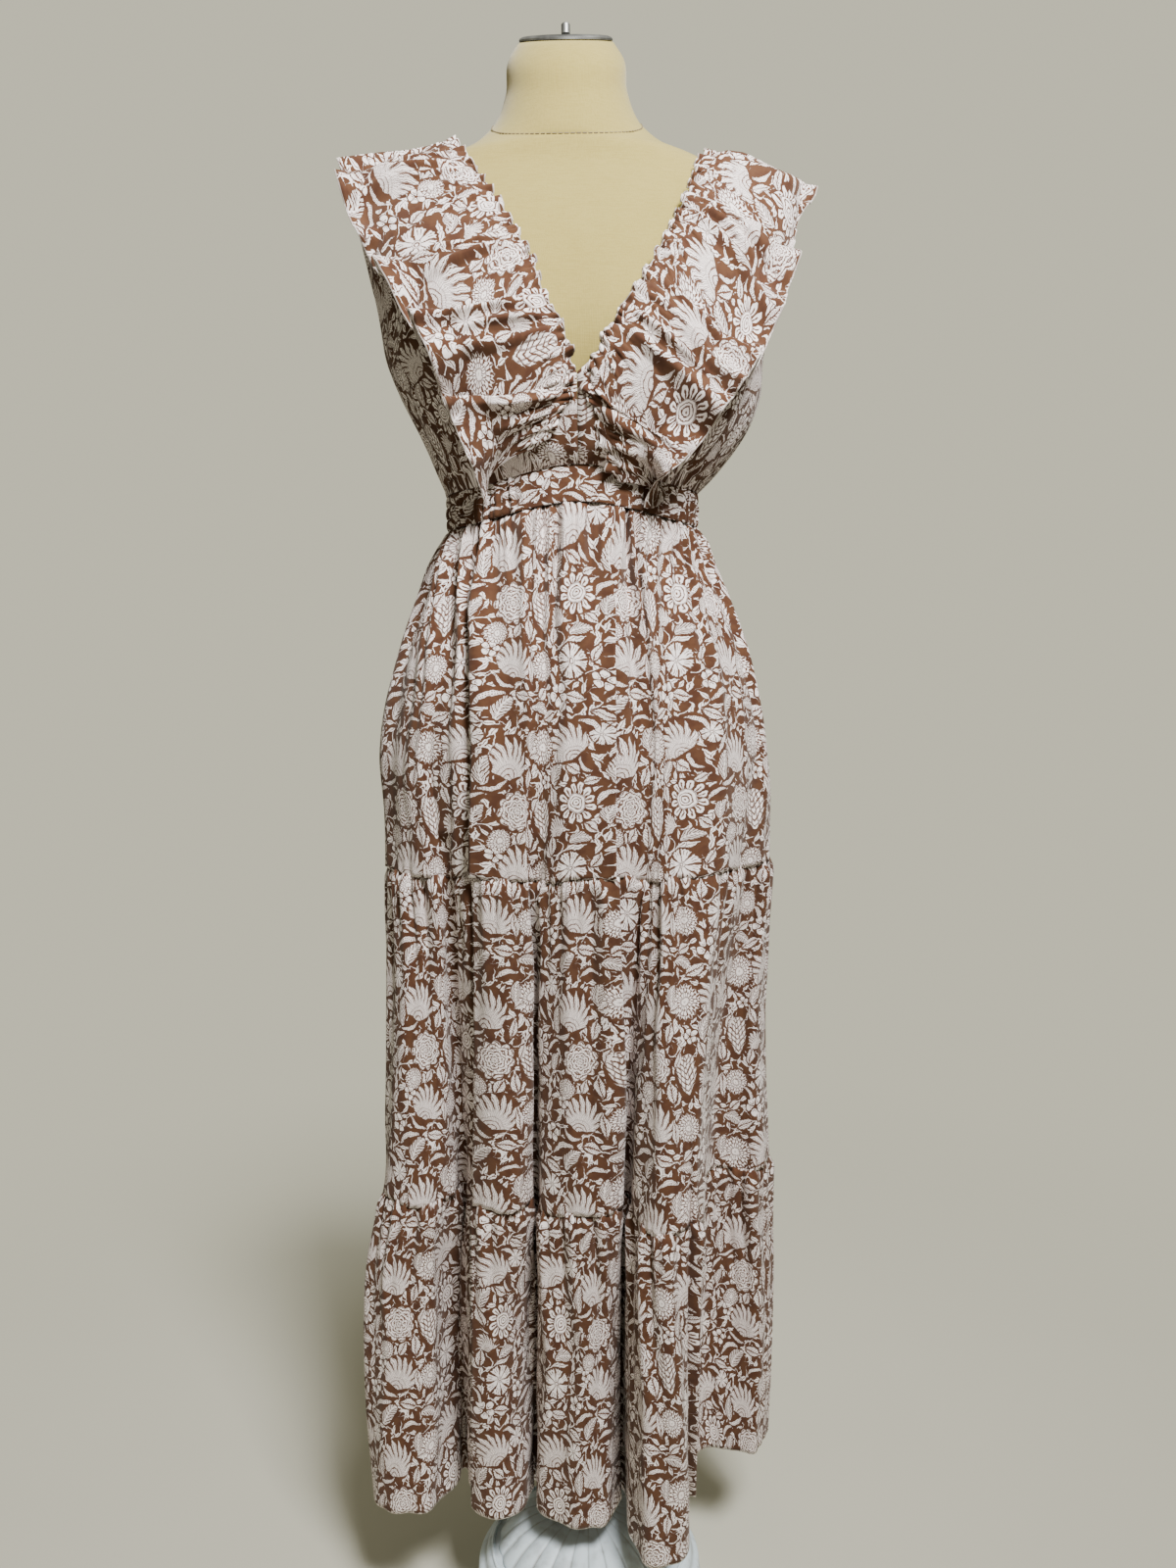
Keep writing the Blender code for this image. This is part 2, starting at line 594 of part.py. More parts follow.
def band_edge(points, is_back):
    """Height of the waistband's lower edge at some points: level at the back, risen in front."""
    if is_back:
        return np.full(len(points), BAND_SIDE_Z)
    share = np.clip(1 - np.abs(points[:, 0] - CENTRE_X) / BAND_HALF_WIDTH, 0, 1)
    return BAND_SIDE_Z + BAND_FRONT_RISE * eased(0.0, 1.0, share)


def half_sizes(table, columns, z):
    """The four half sizes of a section at a height."""
    return [looked_up(table, columns, name, z) for name in ("left", "right", "front", "back")]


def oval(left, right, front, back, turn):
    """Points of a level oval whose four half sizes differ."""
    c, s = np.cos(turn), np.sin(turn)
    return np.stack([c * np.where(c < 0, left, right), s * np.where(s < 0, front, back)], axis=1)


def waistband(is_back):
    """The front or back waistband, between the side seams, rippled by its elastic."""
    first, last = (0.0, np.pi) if is_back else (np.pi, 2 * np.pi)
    turn = np.linspace(first, last, BAND_STEPS + 1)
    top_z = BAND_SIDE_Z + BAND_HEIGHT
    plan = oval(*[size - BAND_INSET for size in half_sizes(BODICE, BODICE_COLUMNS, top_z)], turn)
    ripple = BAND_RIPPLE_DEPTH * np.sin(turn * 2 * BAND_RIPPLES)
    shares = (0.0, 0.5, 1.0)
    rows = []
    for share in shares:
        swelling = ripple * (1.0 if share == 0.5 else 0.35) / np.linalg.norm(plan, axis=1)
        row = plan * (1 + swelling[:, None])
        rows.append(np.column_stack([row, band_edge(row, is_back) + BAND_HEIGHT * share]))
    grid = clear_of_form(np.array(rows), BAND + SEAM)
    grid[:, 0, 1] = grid[:, -1, 1] = HALF_SEAM if is_back else -HALF_SEAM
    for row, share in zip(grid, shares):
        row[:, 2] = band_edge(row, is_back) + BAND_HEIGHT * share
    flat = (("bottom", 2), ("top", 2), ("start", 1), ("end", 1))
    wall(f"waistband_{'back' if is_back else 'front'}", grid, BAND, "cotton", flat)


def hem_plan(angle):
    """Place of the hem's edge seen from above, for angles in degrees."""
    knots = column(HEM, HEM_COLUMNS, "angle")
    return np.stack(
        [smooth(knots, column(HEM, HEM_COLUMNS, name), angle, 360.0) for name in ("x", "y")],
        axis=1,
    )


def even_angles(first, last, steps):
    """Angles whose points on the hem are evenly spaced along it."""
    fine = np.linspace(first, last, 721)
    run = np.linalg.norm(np.diff(hem_plan(fine), axis=0), axis=1)
    hips = np.linalg.norm(np.diff(hip_plan(fine, SEAM_HIGH_Z), axis=0), axis=1)
    length = np.concatenate([[0], np.cumsum(run + HIP_SHARE * hips)])
    return np.interp(np.linspace(0, length[-1], steps + 1), length, fine)


def hip_plan(angle, z):
    """The skirt's plain outline at one height, without its folds."""
    return oval(*half_sizes(SKIRT, SKIRT_COLUMNS, z), np.radians(angle))


def skirt_row(angle, z):
    """Plan of the skirt at one height: the hips' outline, turning into the hem's folds below."""
    folds = hem_plan(angle)
    for side, sign in (("left", -1), ("right", 1)):
        growth = np.divide(*looked_up(SKIRT, SKIRT_COLUMNS, side, (z, HEM_Z)))
        folds[:, 0] *= np.where(folds[:, 0] * sign > 0, growth, 1.0)
    hips = hip_plan(angle, z)
    return hips + (folds - hips) * looked_up(SKIRT, SKIRT_COLUMNS, "fold_share", z)


def gather_depth(drop):
    """Depth of the small gathers at a distance below the seam that they start from."""
    growth = GATHER_START + (1 - GATHER_START) * min(drop / GATHER_FULL_DROP, 1)
    return GATHER_DEPTH * growth * math.exp(-drop / GATHER_FADE)


def tier_panel(tier, is_back, top_z, levels, bottom_z):
    """The front or back panel of one tier, gathered onto what is above it."""
    first, last, steps = (0.0, 180.0, BACK_STEPS) if is_back else (180.0, 360.0, FRONT_STEPS)
    angle = even_angles(first, last, steps)
    wave = np.sin(np.arange(steps + 1) * 2 * np.pi / COLUMNS_PER_GATHER + 0.5)
    wave[[0, -1]] = 0.0
    heights = (bottom_z, *levels[::-1], top_z)
    rows = []
    for z in heights:
        plan = skirt_row(angle, z)
        run = np.gradient(plan, axis=0)
        out = np.stack([run[:, 1], -run[:, 0]], axis=1)
        out /= np.linalg.norm(out, axis=1, keepdims=True)
        depth = 0.0 if z == bottom_z else gather_depth(top_z - z)
        rows.append(np.column_stack([plan + out * (wave * depth)[:, None], np.full(steps + 1, z)]))
    grid = clear_of_form(np.array(rows), CLOTH + FORM_CLEARANCE)
    for row, z in zip(grid, heights):
        row[:, 2] = z
    grid[:, [0, -1], 1] += HALF_SEAM if is_back else -HALF_SEAM
    grid[-1, :, 2] = band_edge(grid[-1], is_back) - SEAM if tier == "top" else top_z - HALF_SEAM
    if tier != "lowest":
        grid[0, :, 2] += HALF_SEAM
    flat = (("bottom", 2), ("top", 2), ("start", 1, 2), ("end", 1, 2))
    wall(f"skirt_{tier}_tier_{'back' if is_back else 'front'}", grid, CLOTH, "cotton", flat)


def ruffle_guides(side):
    """Rows of (stitched line, free edge) points along a ruffle, from its front end to its back one."""
    sign = -1 if side == "left" else 1
    front = LEFT_RUFFLE if side == "left" else RIGHT_RUFFLE
    neck, free = [], []
    for row in (*front, SHOULDER_RUFFLE[side], *BACK_RUFFLE):
        neck_x, neck_z, free_x, free_y, free_z = row
        is_back = free_y > 0
        neck_x *= 1 + BACK_WIDENING[side] * is_back
        width = float(looked_up(BODICE, BODICE_COLUMNS, side, neck_z))
        depth = float(looked_up(BODICE, BODICE_COLUMNS, "back" if is_back else "front", neck_z))
        n = float(looked_up(BODICE, BODICE_COLUMNS, "squareness", neck_z))
        reach = max(1 - (neck_x / width) ** n, 0.0) ** (1 / n)
        neck_y = (depth + RUFFLE_LIFT) * reach * (1 if is_back else -1) * (free_y != 0)
        neck.append((sign * neck_x, neck_y, neck_z))
        free.append((sign * free_x, free_y, free_z))
    return np.array(neck), np.array(free)


def lap_wave(at, laps):
    """0 to 1 along the ruffle: each lobe stands proud at its lower end and sinks at its upper one."""
    laps = np.asarray(laps)
    cell = np.clip(np.searchsorted(laps, at, side="right") - 1, 0, len(laps) - 2)
    t = (at - laps[cell]) / (laps[cell + 1] - laps[cell])
    return eased(0.0, LAP_STEP, t) * (1 - eased(LAP_STEP * 0.5, 1.3, t))


def off_the_bodice(grid, lift):
    """The grid moved clear of the bodice's outline and of the form under it."""
    return clear_of_form(clear_of(bodice_field, grid, lift), CLOTH + BODICE_CLEARANCE + lift)


def ruffle(side):
    """One ruffle: a gathered flounce with a narrow frilled heading, sewn along the neck edge."""
    neck, free = ruffle_guides(side)
    knots = np.arange(len(neck), dtype=float)
    at = np.linspace(0, knots[-1], RUFFLE_STEPS + 1)
    neck = np.stack([smooth(knots, neck[:, k], at) for k in range(3)], axis=1)
    free = np.stack([smooth(knots, free[:, k], at) for k in range(3)], axis=1)
    lobe = lap_wave(at, LEFT_LAPS if side == "left" else RIGHT_LAPS)
    sign = -1 if side == "left" else 1
    shoulder = np.exp(-(((at - len(LEFT_RUFFLE)) / SHOULDER_ROWS) ** 2)) * RUFFLE_ARCH[side]
    shares = np.array(RUFFLE_SHARES)
    bulge = 4 * shares * (1 - shares)
    grid = neck[None] + (free - neck)[None] * shares[:, None, None]
    grid[..., 2] += bulge[:, None] * shoulder
    outward = normals_of(grid) * sign
    lift = np.interp(shares, (0.0, 0.2, 0.5), (RUFFLE_LIFT, RUFFLE_SPRING * 0.7, RUFFLE_SPRING))
    end_lift = WAIST_LIFT * np.exp(-((at / WAIST_ROWS) ** 2))
    grid = grid + outward * (bulge * RUFFLE_BOW)[:, None, None]
    grid = off_the_bodice(grid, lift[:, None] + end_lift)
    down = -np.gradient(grid, axis=1)
    down /= np.linalg.norm(down, axis=2, keepdims=True)
    grid = grid + (outward * LAP_DEPTH + down * LAP_HANG) * (shares[:, None] ** 1.1 * lobe)[..., None]
    inward = grid[0] - grid[1]
    inward /= np.linalg.norm(inward, axis=1, keepdims=True)
    heading = grid[0] + inward * HEADING_WIDTH
    spacing = np.linalg.norm(np.gradient(heading, axis=0), axis=1)
    frill = (np.arange(len(at)) % 2) * np.minimum(HEADING_WAVE, spacing * 0.45)
    heading = off_the_bodice(heading[None], RUFFLE_LIFT + end_lift)[0] + outward[0] * frill[:, None]
    middle = np.where(heading[:, 1] < 0, CENTRE_X, 0.0)
    heading[:, 0] = middle + sign * np.maximum(sign * (heading[:, 0] - middle), HEADING_APART / 2)
    grid = np.concatenate([heading[None], grid])
    wall(f"ruffle_{side}", grid if sign > 0 else grid[:, ::-1], CLOTH, "cotton")


def dress_form():
    """The padded torso with its leaning neck, and the cap and pin on it."""
    heights = column(FORM, FORM_COLUMNS, "z")
    loft("dress_form", [form_ring(z, FORM_SIDES) for z in heights], "form_cover")
    slope = Matrix.Identity(4)
    slope[1][1] = CAP_DEPTH_SHARE
    slope[2][1] = NECK_LEAN * CAP_DEPTH_SHARE
    cap = rod("neck_cap", CAP_RADIUS, 0.0, CAP_HEIGHT, FORM_SIDES, "steel")
    cap.data.transform(Matrix.Translation((0, 0, FORM_TOP_Z + SEAM)) @ slope)
    edge = cap.modifiers.new("edge", "BEVEL")
    edge.width = CAP_EDGE
    edge.segments = 1
    edge.limit_method = "ANGLE"
    pin_z = FORM_TOP_Z + SEAM + CAP_HEIGHT + SEAM + NECK_LEAN * PIN_RADIUS
    rod("neck_pin", PIN_RADIUS, pin_z, pin_z + PIN_HEIGHT, PIN_SIDES, "steel")


def stand():
    """The pole, its flange under the form, the fluted dome and the turned foot."""
    turned("stand_foot", FOOT_OUTLINE, "white_iron")
    turn = np.arange(2 * DOME_FLUTES) * np.pi / DOME_FLUTES
    rings = []
    for radius, z, depth in DOME_OUTLINE:
        scallop = radius * (1 - depth * np.abs(np.cos(turn * DOME_FLUTES / 2)))
        level = np.full(len(turn), z)
        rings.append(np.stack([np.cos(turn) * scallop, np.sin(turn) * scallop, level], axis=1))
    loft("stand_dome", rings, "white_iron")
    rod("stand_pole", POLE_RADIUS, DOME_TOP_Z + SEAM, FLANGE_Z - SEAM, POLE_SIDES, "steel")
    rod("form_flange", FLANGE_RADIUS, FLANGE_Z, FLANGE_Z + FLANGE_HEIGHT, TURNED_SIDES, "steel")


def materials():
    """One plain material for each finish."""
    for name, (red, green, blue, roughness, metallic) in COLOURS.items():
        material = bpy.data.materials.new(name)
        material.use_nodes = True
        shader = material.node_tree.nodes["Principled BSDF"]
        shader.inputs["Base Color"].default_value = (red, green, blue, 1.0)
        shader.inputs["Roughness"].default_value = roughness
        shader.inputs["Metallic"].default_value = metallic


def main():
    """Builds every piece, from the floor up."""
    materials()
    stand()
    dress_form()
    for is_back in (False, True):
        top = BAND_SIDE_Z
        for tier, levels, bottom in TIERS:
            tier_panel(tier, is_back, top, levels, bottom)
            top = bottom
        waistband(is_back)
        for side in ("left", "right"):
            bodice_panel(side, is_back)
    for side in ("left", "right"):
        ruffle(side)


for old in list(bpy.data.objects):
    bpy.data.objects.remove(old)
PARTS = bpy.data.collections.new("v_neck_dress_on_form")
bpy.context.scene.collection.children.link(PARTS)
main()
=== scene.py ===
"""The looks of a tiered v-neck maxi dress on a limbless dress form with a round stand.

Metres, +Z up. The front of the dress faces -Y, and +X is at the right as seen from the front.
Every piece of cloth starts as a flat grid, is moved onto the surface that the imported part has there,
with the gathers, laps and creases of soft voile, and is given a thin wall. The print is drawn by nodes
on each piece's own cut map, in metres of cloth, so it follows the grain as a real print does.
"""

from __future__ import annotations

import logging
import math
from dataclasses import dataclass, field
from enum import Enum
from typing import Callable, Sequence

import bmesh
import bpy
import numpy as np
from bpy.types import Material, Mesh, Node, NodeSocket, NodeTree, Object
from mathutils import Matrix, Vector

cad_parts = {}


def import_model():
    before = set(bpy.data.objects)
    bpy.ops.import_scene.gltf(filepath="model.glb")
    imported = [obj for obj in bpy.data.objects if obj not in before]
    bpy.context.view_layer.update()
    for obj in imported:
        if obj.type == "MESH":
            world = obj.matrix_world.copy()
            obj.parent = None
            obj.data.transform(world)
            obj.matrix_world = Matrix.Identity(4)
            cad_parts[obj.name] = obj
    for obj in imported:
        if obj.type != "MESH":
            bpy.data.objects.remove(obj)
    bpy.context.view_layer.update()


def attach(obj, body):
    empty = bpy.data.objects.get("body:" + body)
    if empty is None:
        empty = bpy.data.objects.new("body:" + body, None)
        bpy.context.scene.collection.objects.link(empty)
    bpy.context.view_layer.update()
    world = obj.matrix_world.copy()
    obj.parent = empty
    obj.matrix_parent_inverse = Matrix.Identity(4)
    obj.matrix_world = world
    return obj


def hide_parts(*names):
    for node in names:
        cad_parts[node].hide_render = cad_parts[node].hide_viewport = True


LOG = logging.getLogger("dress")
Array = np.ndarray
Colour = tuple[float, float, float, float]
Outline = tuple[tuple[float, float], ...]
Rows = tuple[tuple[float, ...], ...]

ROOT = "root"
SIDES = ("left", "right", "front", "back")
SEAM = 0.0003  # space between two pieces at a seam
HALF_SEAM = SEAM / 2
CENTRE_X = 0.006  # the centre front seam stands a little right of the pole
HEM_Z = 0.125
HIP_Z = 0.752  # the seam under the top tier
BAND_SIDE_Z = 1.0645  # lower edge of the waistband at the sides
BAND_HEIGHT = 0.0325
BAND_RISE = 0.0145  # how much higher its centre front is
BAND_HALF_WIDTH = 0.108
MERGE = 1e-6  # points closer than this are one


class Side(Enum):
    """A side of the dress, as seen from the front."""

    LEFT = "left"
    RIGHT = "right"

    @property
    def sign(self) -> int:
        """-1 on the left and 1 on the right."""
        return -1 if self is Side.LEFT else 1


class Facing(Enum):
    """Which way a panel faces."""

    FRONT = "front"
    BACK = "back"

    @property
    def is_back(self) -> bool:
        """Whether the panel is on the wearer's back."""
        return self is Facing.BACK


# Curves and tables


def eased(low: float, high: float, at: Array) -> Array:
    """Rises smoothly from 0 to 1.

    Args:
        low: where the rise starts.
        high: where it ends.
        at: the places to read.

    Returns:
        The rise at each place.
    """
    t = np.clip((at - low) / (high - low), 0.0, 1.0)
    return t * t * (3 - 2 * t)


def smooth(knots: Sequence, values: Sequence, at: Array | float, period: float | None = None) -> Array:
    """Reads a smooth curve through some points.

    Args:
        knots: where the points stand, rising.
        values: their heights.
        at: the places to read.
        period: the length after which the curve repeats, if it does.

    Returns:
        The curve at each place.
    """
    knots, values = np.asarray(knots, float), np.asarray(values, float)
    at = np.asarray(at, float)
    if period:
        knots = np.concatenate([knots[-2:] - period, knots, knots[:2] + period])
        values = np.concatenate([values[-2:], values, values[:2]])
        at = np.mod(at, period)
    slopes = np.gradient(values, knots)
    cell = np.clip(np.searchsorted(knots, at, side="right") - 1, 0, len(knots) - 2)
    width = knots[cell + 1] - knots[cell]
    t = np.clip((at - knots[cell]) / width, 0.0, 1.0)
    low = values[cell] * (1 + 2 * t) * (1 - t) ** 2 + slopes[cell] * width * t * (1 - t) ** 2
    return low + values[cell + 1] * t**2 * (3 - 2 * t) - slopes[cell + 1] * width * t**2 * (1 - t)


def uneven(at: Array, pitch: float, seed: float) -> Array:
    """A wave between -1 and 1 whose crests are unevenly spaced and high.

    Args:
        at: places along the cloth.
        pitch: the mean distance from crest to crest, in the unit of at.
        seed: sets where the crests fall.

    Returns:
        The wave at each place.
    """
    turn = 2 * np.pi * at / pitch
    drift = 1.1 * np.sin(turn * 0.137 + seed) + 0.8 * np.sin(turn * 0.291 + 2.3 * seed)
    return np.sin(turn + drift) * (0.74 + 0.26 * np.sin(turn * 0.213 + 1.7 * seed))


def gathered(at: Array, pitch: float, seed: float) -> Array:
    """An uneven wave with round crests and narrow valleys, about 0 on average.

    Args:
        at: places along the cloth.
        pitch: the mean distance from crest to crest.
        seed: sets where the crests fall.

    Returns:
        The wave at each place, between about -1 and 1.
    """
    return 2.0 * np.sqrt(0.51 + 0.5 * uneven(at, pitch, seed)) - 1.38


@dataclass(frozen=True)
class Chart:
    """A short table of sizes, read by the names of its columns; the first column orders its rows."""

    columns: tuple[str, ...]
    rows: tuple[tuple[float, ...], ...]

    def column(self, name: str) -> Array:
        """One named column."""
        return np.array(self.rows, float)[:, self.columns.index(name)]

    def read(self, name: str, at: Array | float) -> Array:
        """Reads a named column on a smooth curve.

        Args:
            name: the column.
            at: places of the first column.

        Returns:
            The curve at each place.
        """
        knots = self.column(self.columns[0])
        order = np.argsort(knots)
        return smooth(knots[order], self.column(name)[order], at)


# Bodies under the cloth


@dataclass(frozen=True)
class TorsoShape:
    """The dress form as level sections, with a bust and a neck whose sections lean to the front."""

    sections: Chart = Chart(
        ("z", "half_width", "front", "back", "squareness"),
        (
            (0.800, 0.1560, 0.096, 0.110, 2.15),
            (0.840, 0.1640, 0.102, 0.118, 2.15),
            (0.890, 0.1640, 0.104, 0.116, 2.15),
            (0.945, 0.1500, 0.097, 0.103, 2.15),
            (1.005, 0.1220, 0.082, 0.084, 2.15),
            (1.075, 0.1020, 0.074, 0.073, 2.15),
            (1.125, 0.1080, 0.083, 0.078, 2.20),
            (1.175, 0.1290, 0.100, 0.087, 2.30),
            (1.215, 0.1410, 0.105, 0.092, 2.40),
            (1.260, 0.1490, 0.098, 0.095, 2.45),
            (1.305, 0.1580, 0.084, 0.092, 2.50),
            (1.340, 0.1660, 0.069, 0.080, 2.50),
            (1.362, 0.1640, 0.059, 0.069, 2.40),
            (1.378, 0.1480, 0.053, 0.061, 2.25),
            (1.394, 0.1200, 0.051, 0.056, 2.10),
            (1.410, 0.0890, 0.050, 0.053, 2.05),
            (1.428, 0.0680, 0.050, 0.053, 2.00),
            (1.455, 0.0555, 0.046, 0.048, 2.00),
            (1.487, 0.0515, 0.044, 0.045, 2.00),
            (1.500, 0.0430, 0.038, 0.038, 2.00),
        ),
    )
    bottom_z: float = 0.800
    top_z: float = 1.500
    bust: tuple[float, ...] = (0.074, 1.205, 0.016, 0.045, 0.055)  # x, z, rise, and spread along x and z
    bust_share: float = 0.6  # the share of the front's depth beyond which the bust has its full rise
    lean: float = 0.45  # slope of the neck's sections
    lean_from: tuple[float, float] = (1.390, 1.430)

    def bust_rise(self, x: Array, z: Array) -> Array:
        """Works out how far the bust stands out of the plain oval.

        Args:
            x: places across.
            z: heights.

        Returns:
            The rise at each place.
        """
        at_x, at_z, rise, spread_x, spread_z = self.bust
        across = np.exp(-(((np.abs(x) - at_x) / spread_x) ** 2))
        return rise * across * np.exp(-(((z - at_z) / spread_z) ** 2))

    def slope(self, z: Array) -> Array:
        """The slope of the section at a height."""
        return self.lean * eased(*self.lean_from, z)

    def surface(self, turn: Array, z: Array) -> Array:
        """Works out points of the surface.

        Args:
            turn: angles from +X.
            z: heights on the side line.

        Returns:
            The points, in the layout of the angles.
        """
        power = 2.0 / self.sections.read("squareness", z)
        c, s = np.cos(turn), np.sin(turn)
        across, along = np.sign(c) * np.abs(c) ** power, np.sign(s) * np.abs(s) ** power
        x = across * self.sections.read("half_width", z)
        depth = np.where(along < 0, self.sections.read("front", z), self.sections.read("back", z))
        y = along * depth - self.bust_rise(x, z) * eased(0.0, self.bust_share, -along)
        return np.stack([x, y, z + self.slope(z) * y], axis=-1)

    def outside(self, points: Array) -> Array:
        """Tells whether points are outside the form.

        Args:
            points: one point a row.

        Returns:
            A number for each, below 0 inside and above 0 outside.
        """
        x, y, z = points.T
        level = z
        for _ in range(3):  # the slope depends on the level sought
            level = z - self.slope(level) * y
        front = self.sections.read("front", level)
        depth = np.where(y < 0, front, self.sections.read("back", level))
        y = y + self.bust_rise(x, level) * eased(0.0, 1.0, -y / (self.bust_share * front))
        n = self.sections.read("squareness", level)
        reach = (np.abs(x) / self.sections.read("half_width", level)) ** n + (np.abs(y) / depth) ** n
        return reach ** (1 / n) - 1

    def off(self, grid: Array, space: Array | float) -> Array:
        """Moves a grid off the form, wherever it is beside the form.

        Args:
            grid: the points.
            space: the least distance.

        Returns:
            The grid in its own layout.
        """
        z = grid[..., 2]
        beside = (z > self.bottom_z - 0.01) & (z < self.top_z - 0.03)
        return np.where(beside[..., None], moved_off(self.outside, grid, space), grid)


@dataclass(frozen=True)
class BodiceShape:
    """The bodice as level sections, worn loose over the form."""

    sections: Chart = Chart(
        ("z", "left", "right", "front", "back", "squareness"),
        (
            (1.094, 0.1150, 0.1120, 0.0890, 0.0850, 2.2),
            (1.122, 0.1270, 0.1400, 0.1040, 0.0950, 2.3),
            (1.152, 0.1400, 0.1620, 0.1180, 0.1020, 2.4),
            (1.185, 0.1560, 0.1740, 0.1280, 0.1050, 2.4),
            (1.212, 0.1660, 0.1750, 0.1300, 0.1060, 2.5),
            (1.250, 0.1740, 0.1810, 0.1210, 0.1070, 2.5),
            (1.290, 0.1850, 0.1920, 0.1040, 0.1040, 2.6),
            (1.330, 0.1930, 0.2000, 0.0830, 0.0930, 2.6),
            (1.352, 0.1950, 0.2020, 0.0690, 0.0800, 2.5),
            (1.367, 0.1880, 0.1940, 0.0620, 0.0710, 2.4),
            (1.382, 0.1600, 0.1620, 0.0560, 0.0640, 2.2),
            (1.398, 0.1290, 0.1290, 0.0535, 0.0600, 2.1),
            (1.414, 0.0970, 0.0970, 0.0520, 0.0570, 2.1),
        ),
    )

    def size(self, name: str, z: Array | float) -> Array:
        """A named size of the section at some heights."""
        return self.sections.read(name, z)

    def outside(self, points: Array) -> Array:
        """Tells whether points are outside the bodice's outline.

        Args:
            points: one point a row.

        Returns:
            A number for each, below 0 inside and above 0 outside.
        """
        x, y, z = points.T
        width = np.where(x < 0, self.size("left", z), self.size("right", z))
        depth = np.where(y < 0, self.size("front", z), self.size("back", z))
        n = self.size("squareness", z)
        return ((np.abs(x) / width) ** n + (np.abs(y) / depth) ** n) ** (1 / n) - 1


def moved_off(outside: Callable, grid: Array, space: Array | float) -> Array:
    """Moves points straight off a shape until they have some space from it.

    The distance is estimated from the slope, so the push dies away where that no longer holds.

    Args:
        outside: a function that is below 0 inside the shape.
        grid: the points, of any layout.
        space: the least distance, one for all or one for each point.

    Returns:
        The grid in its own layout.
    """
    points = grid.reshape(-1, 3).copy()
    space = np.broadcast_to(space, grid.shape[:-1]).reshape(-1).copy()
    step, nearby, fade, rounds = 2e-4, 0.5, (0.10, 0.24), 4
    near = np.flatnonzero(outside(points) < nearby)
    for _ in range(rounds):
        some = points[near]
        slope = np.stack(
            [(outside(some + way) - outside(some - way)) / (2 * step) for way in np.eye(3) * step], axis=1
        )
        steepness = np.maximum(np.linalg.norm(slope, axis=1), 1e-6)
        value = outside(some)
        push = np.maximum(space[near] - value / steepness, 0.0) * (1 - eased(*fade, value))
        points[near] += slope / steepness[:, None] * push[:, None]
    return points.reshape(grid.shape)


def normals_of(grid: Array) -> Array:
    """Unit normals of a grid of points, from its rows and columns."""
    normal = np.cross(np.gradient(grid, axis=1), np.gradient(grid, axis=0))
    return normal / np.maximum(np.linalg.norm(normal, axis=2, keepdims=True), 1e-9)


TORSO = TorsoShape()
BODICE = BodiceShape()


# Nodes


@dataclass(frozen=True)
class Wire:
    """The output of a node, which can be reckoned with like a number."""

    tree: NodeTree
    socket: NodeSocket

    def math(self, operation: str, *others: Wire | float, clamp: bool = False) -> Wire:
        """Adds a Math node.

        Args:
            operation: what it does.
            others: its other inputs.
            clamp: whether the result stays between 0 and 1.

        Returns:
            The result.
        """
        node = self.tree.nodes.new("ShaderNodeMath")
        node.operation = operation
        node.use_clamp = clamp
        for slot, value in zip(node.inputs, (self, *others)):
            feed(self.tree, slot, value)
        return Wire(self.tree, node.outputs[0])

    def vector(self, operation: str, *others: Wire | tuple, output: str = "Vector") -> Wire:
        """Adds a Vector Math node.

        Args:
            operation: what it does.
            others: its other inputs.
            output: the output to read.

        Returns:
            The result.
        """
        node = self.tree.nodes.new("ShaderNodeVectorMath")
        node.operation = operation
        for slot, value in zip(node.inputs, (self, *others)):
            feed(self.tree, slot, value)
        return Wire(self.tree, node.outputs[output])

    def __add__(self, other: Wire | float) -> Wire:
        """The sum."""
        return self.math("ADD", other)

    def __sub__(self, other: Wire | float) -> Wire:
        """The difference."""
        return self.math("SUBTRACT", other)

    def __mul__(self, other: Wire | float) -> Wire:
        """The product."""
        return self.math("MULTIPLY", other)

    def below(self, limit: Wire | float, blur: float) -> Wire:
        """Compares the wire with a limit, with a soft step.

        Args:
            limit: the limit.
            blur: half the width of the step.

        Returns:
            1 below the limit and 0 above it.
        """
        node = self.tree.nodes.new("ShaderNodeMapRange")
        node.interpolation_type = "SMOOTHSTEP"
        feed(self.tree, node.inputs["Value"], self - limit)
        for name, value in (("From Min", -blur), ("From Max", blur), ("To Min", 1.0), ("To Max", 0.0)):
            node.inputs[name].default_value = value
        return Wire(self.tree, node.outputs["Result"])

    def mixed(self, first: Wire | float, second: Wire | float) -> Wire:
        """The first number where the wire is 0 and the second where it is 1."""
        return blend(self.tree, "FLOAT", self, first, second)

    def absolute(self) -> Wire:
        """The size without its sign."""
        return self.math("ABSOLUTE")

    def inverse(self) -> Wire:
        """1 where the wire is 0 and 0 where it is 1."""
        return self * -1.0 + 1.0


def feed(tree: NodeTree, slot: NodeSocket, value: Wire | float | tuple) -> None:
    """Links a wire to a socket, or sets the socket to a plain value.

    Args:
        tree: the node tree.
        slot: the socket.
        value: the wire or the value.
    """
    if isinstance(value, Wire):
        tree.links.new(value.socket, slot)
    else:
        slot.default_value = value


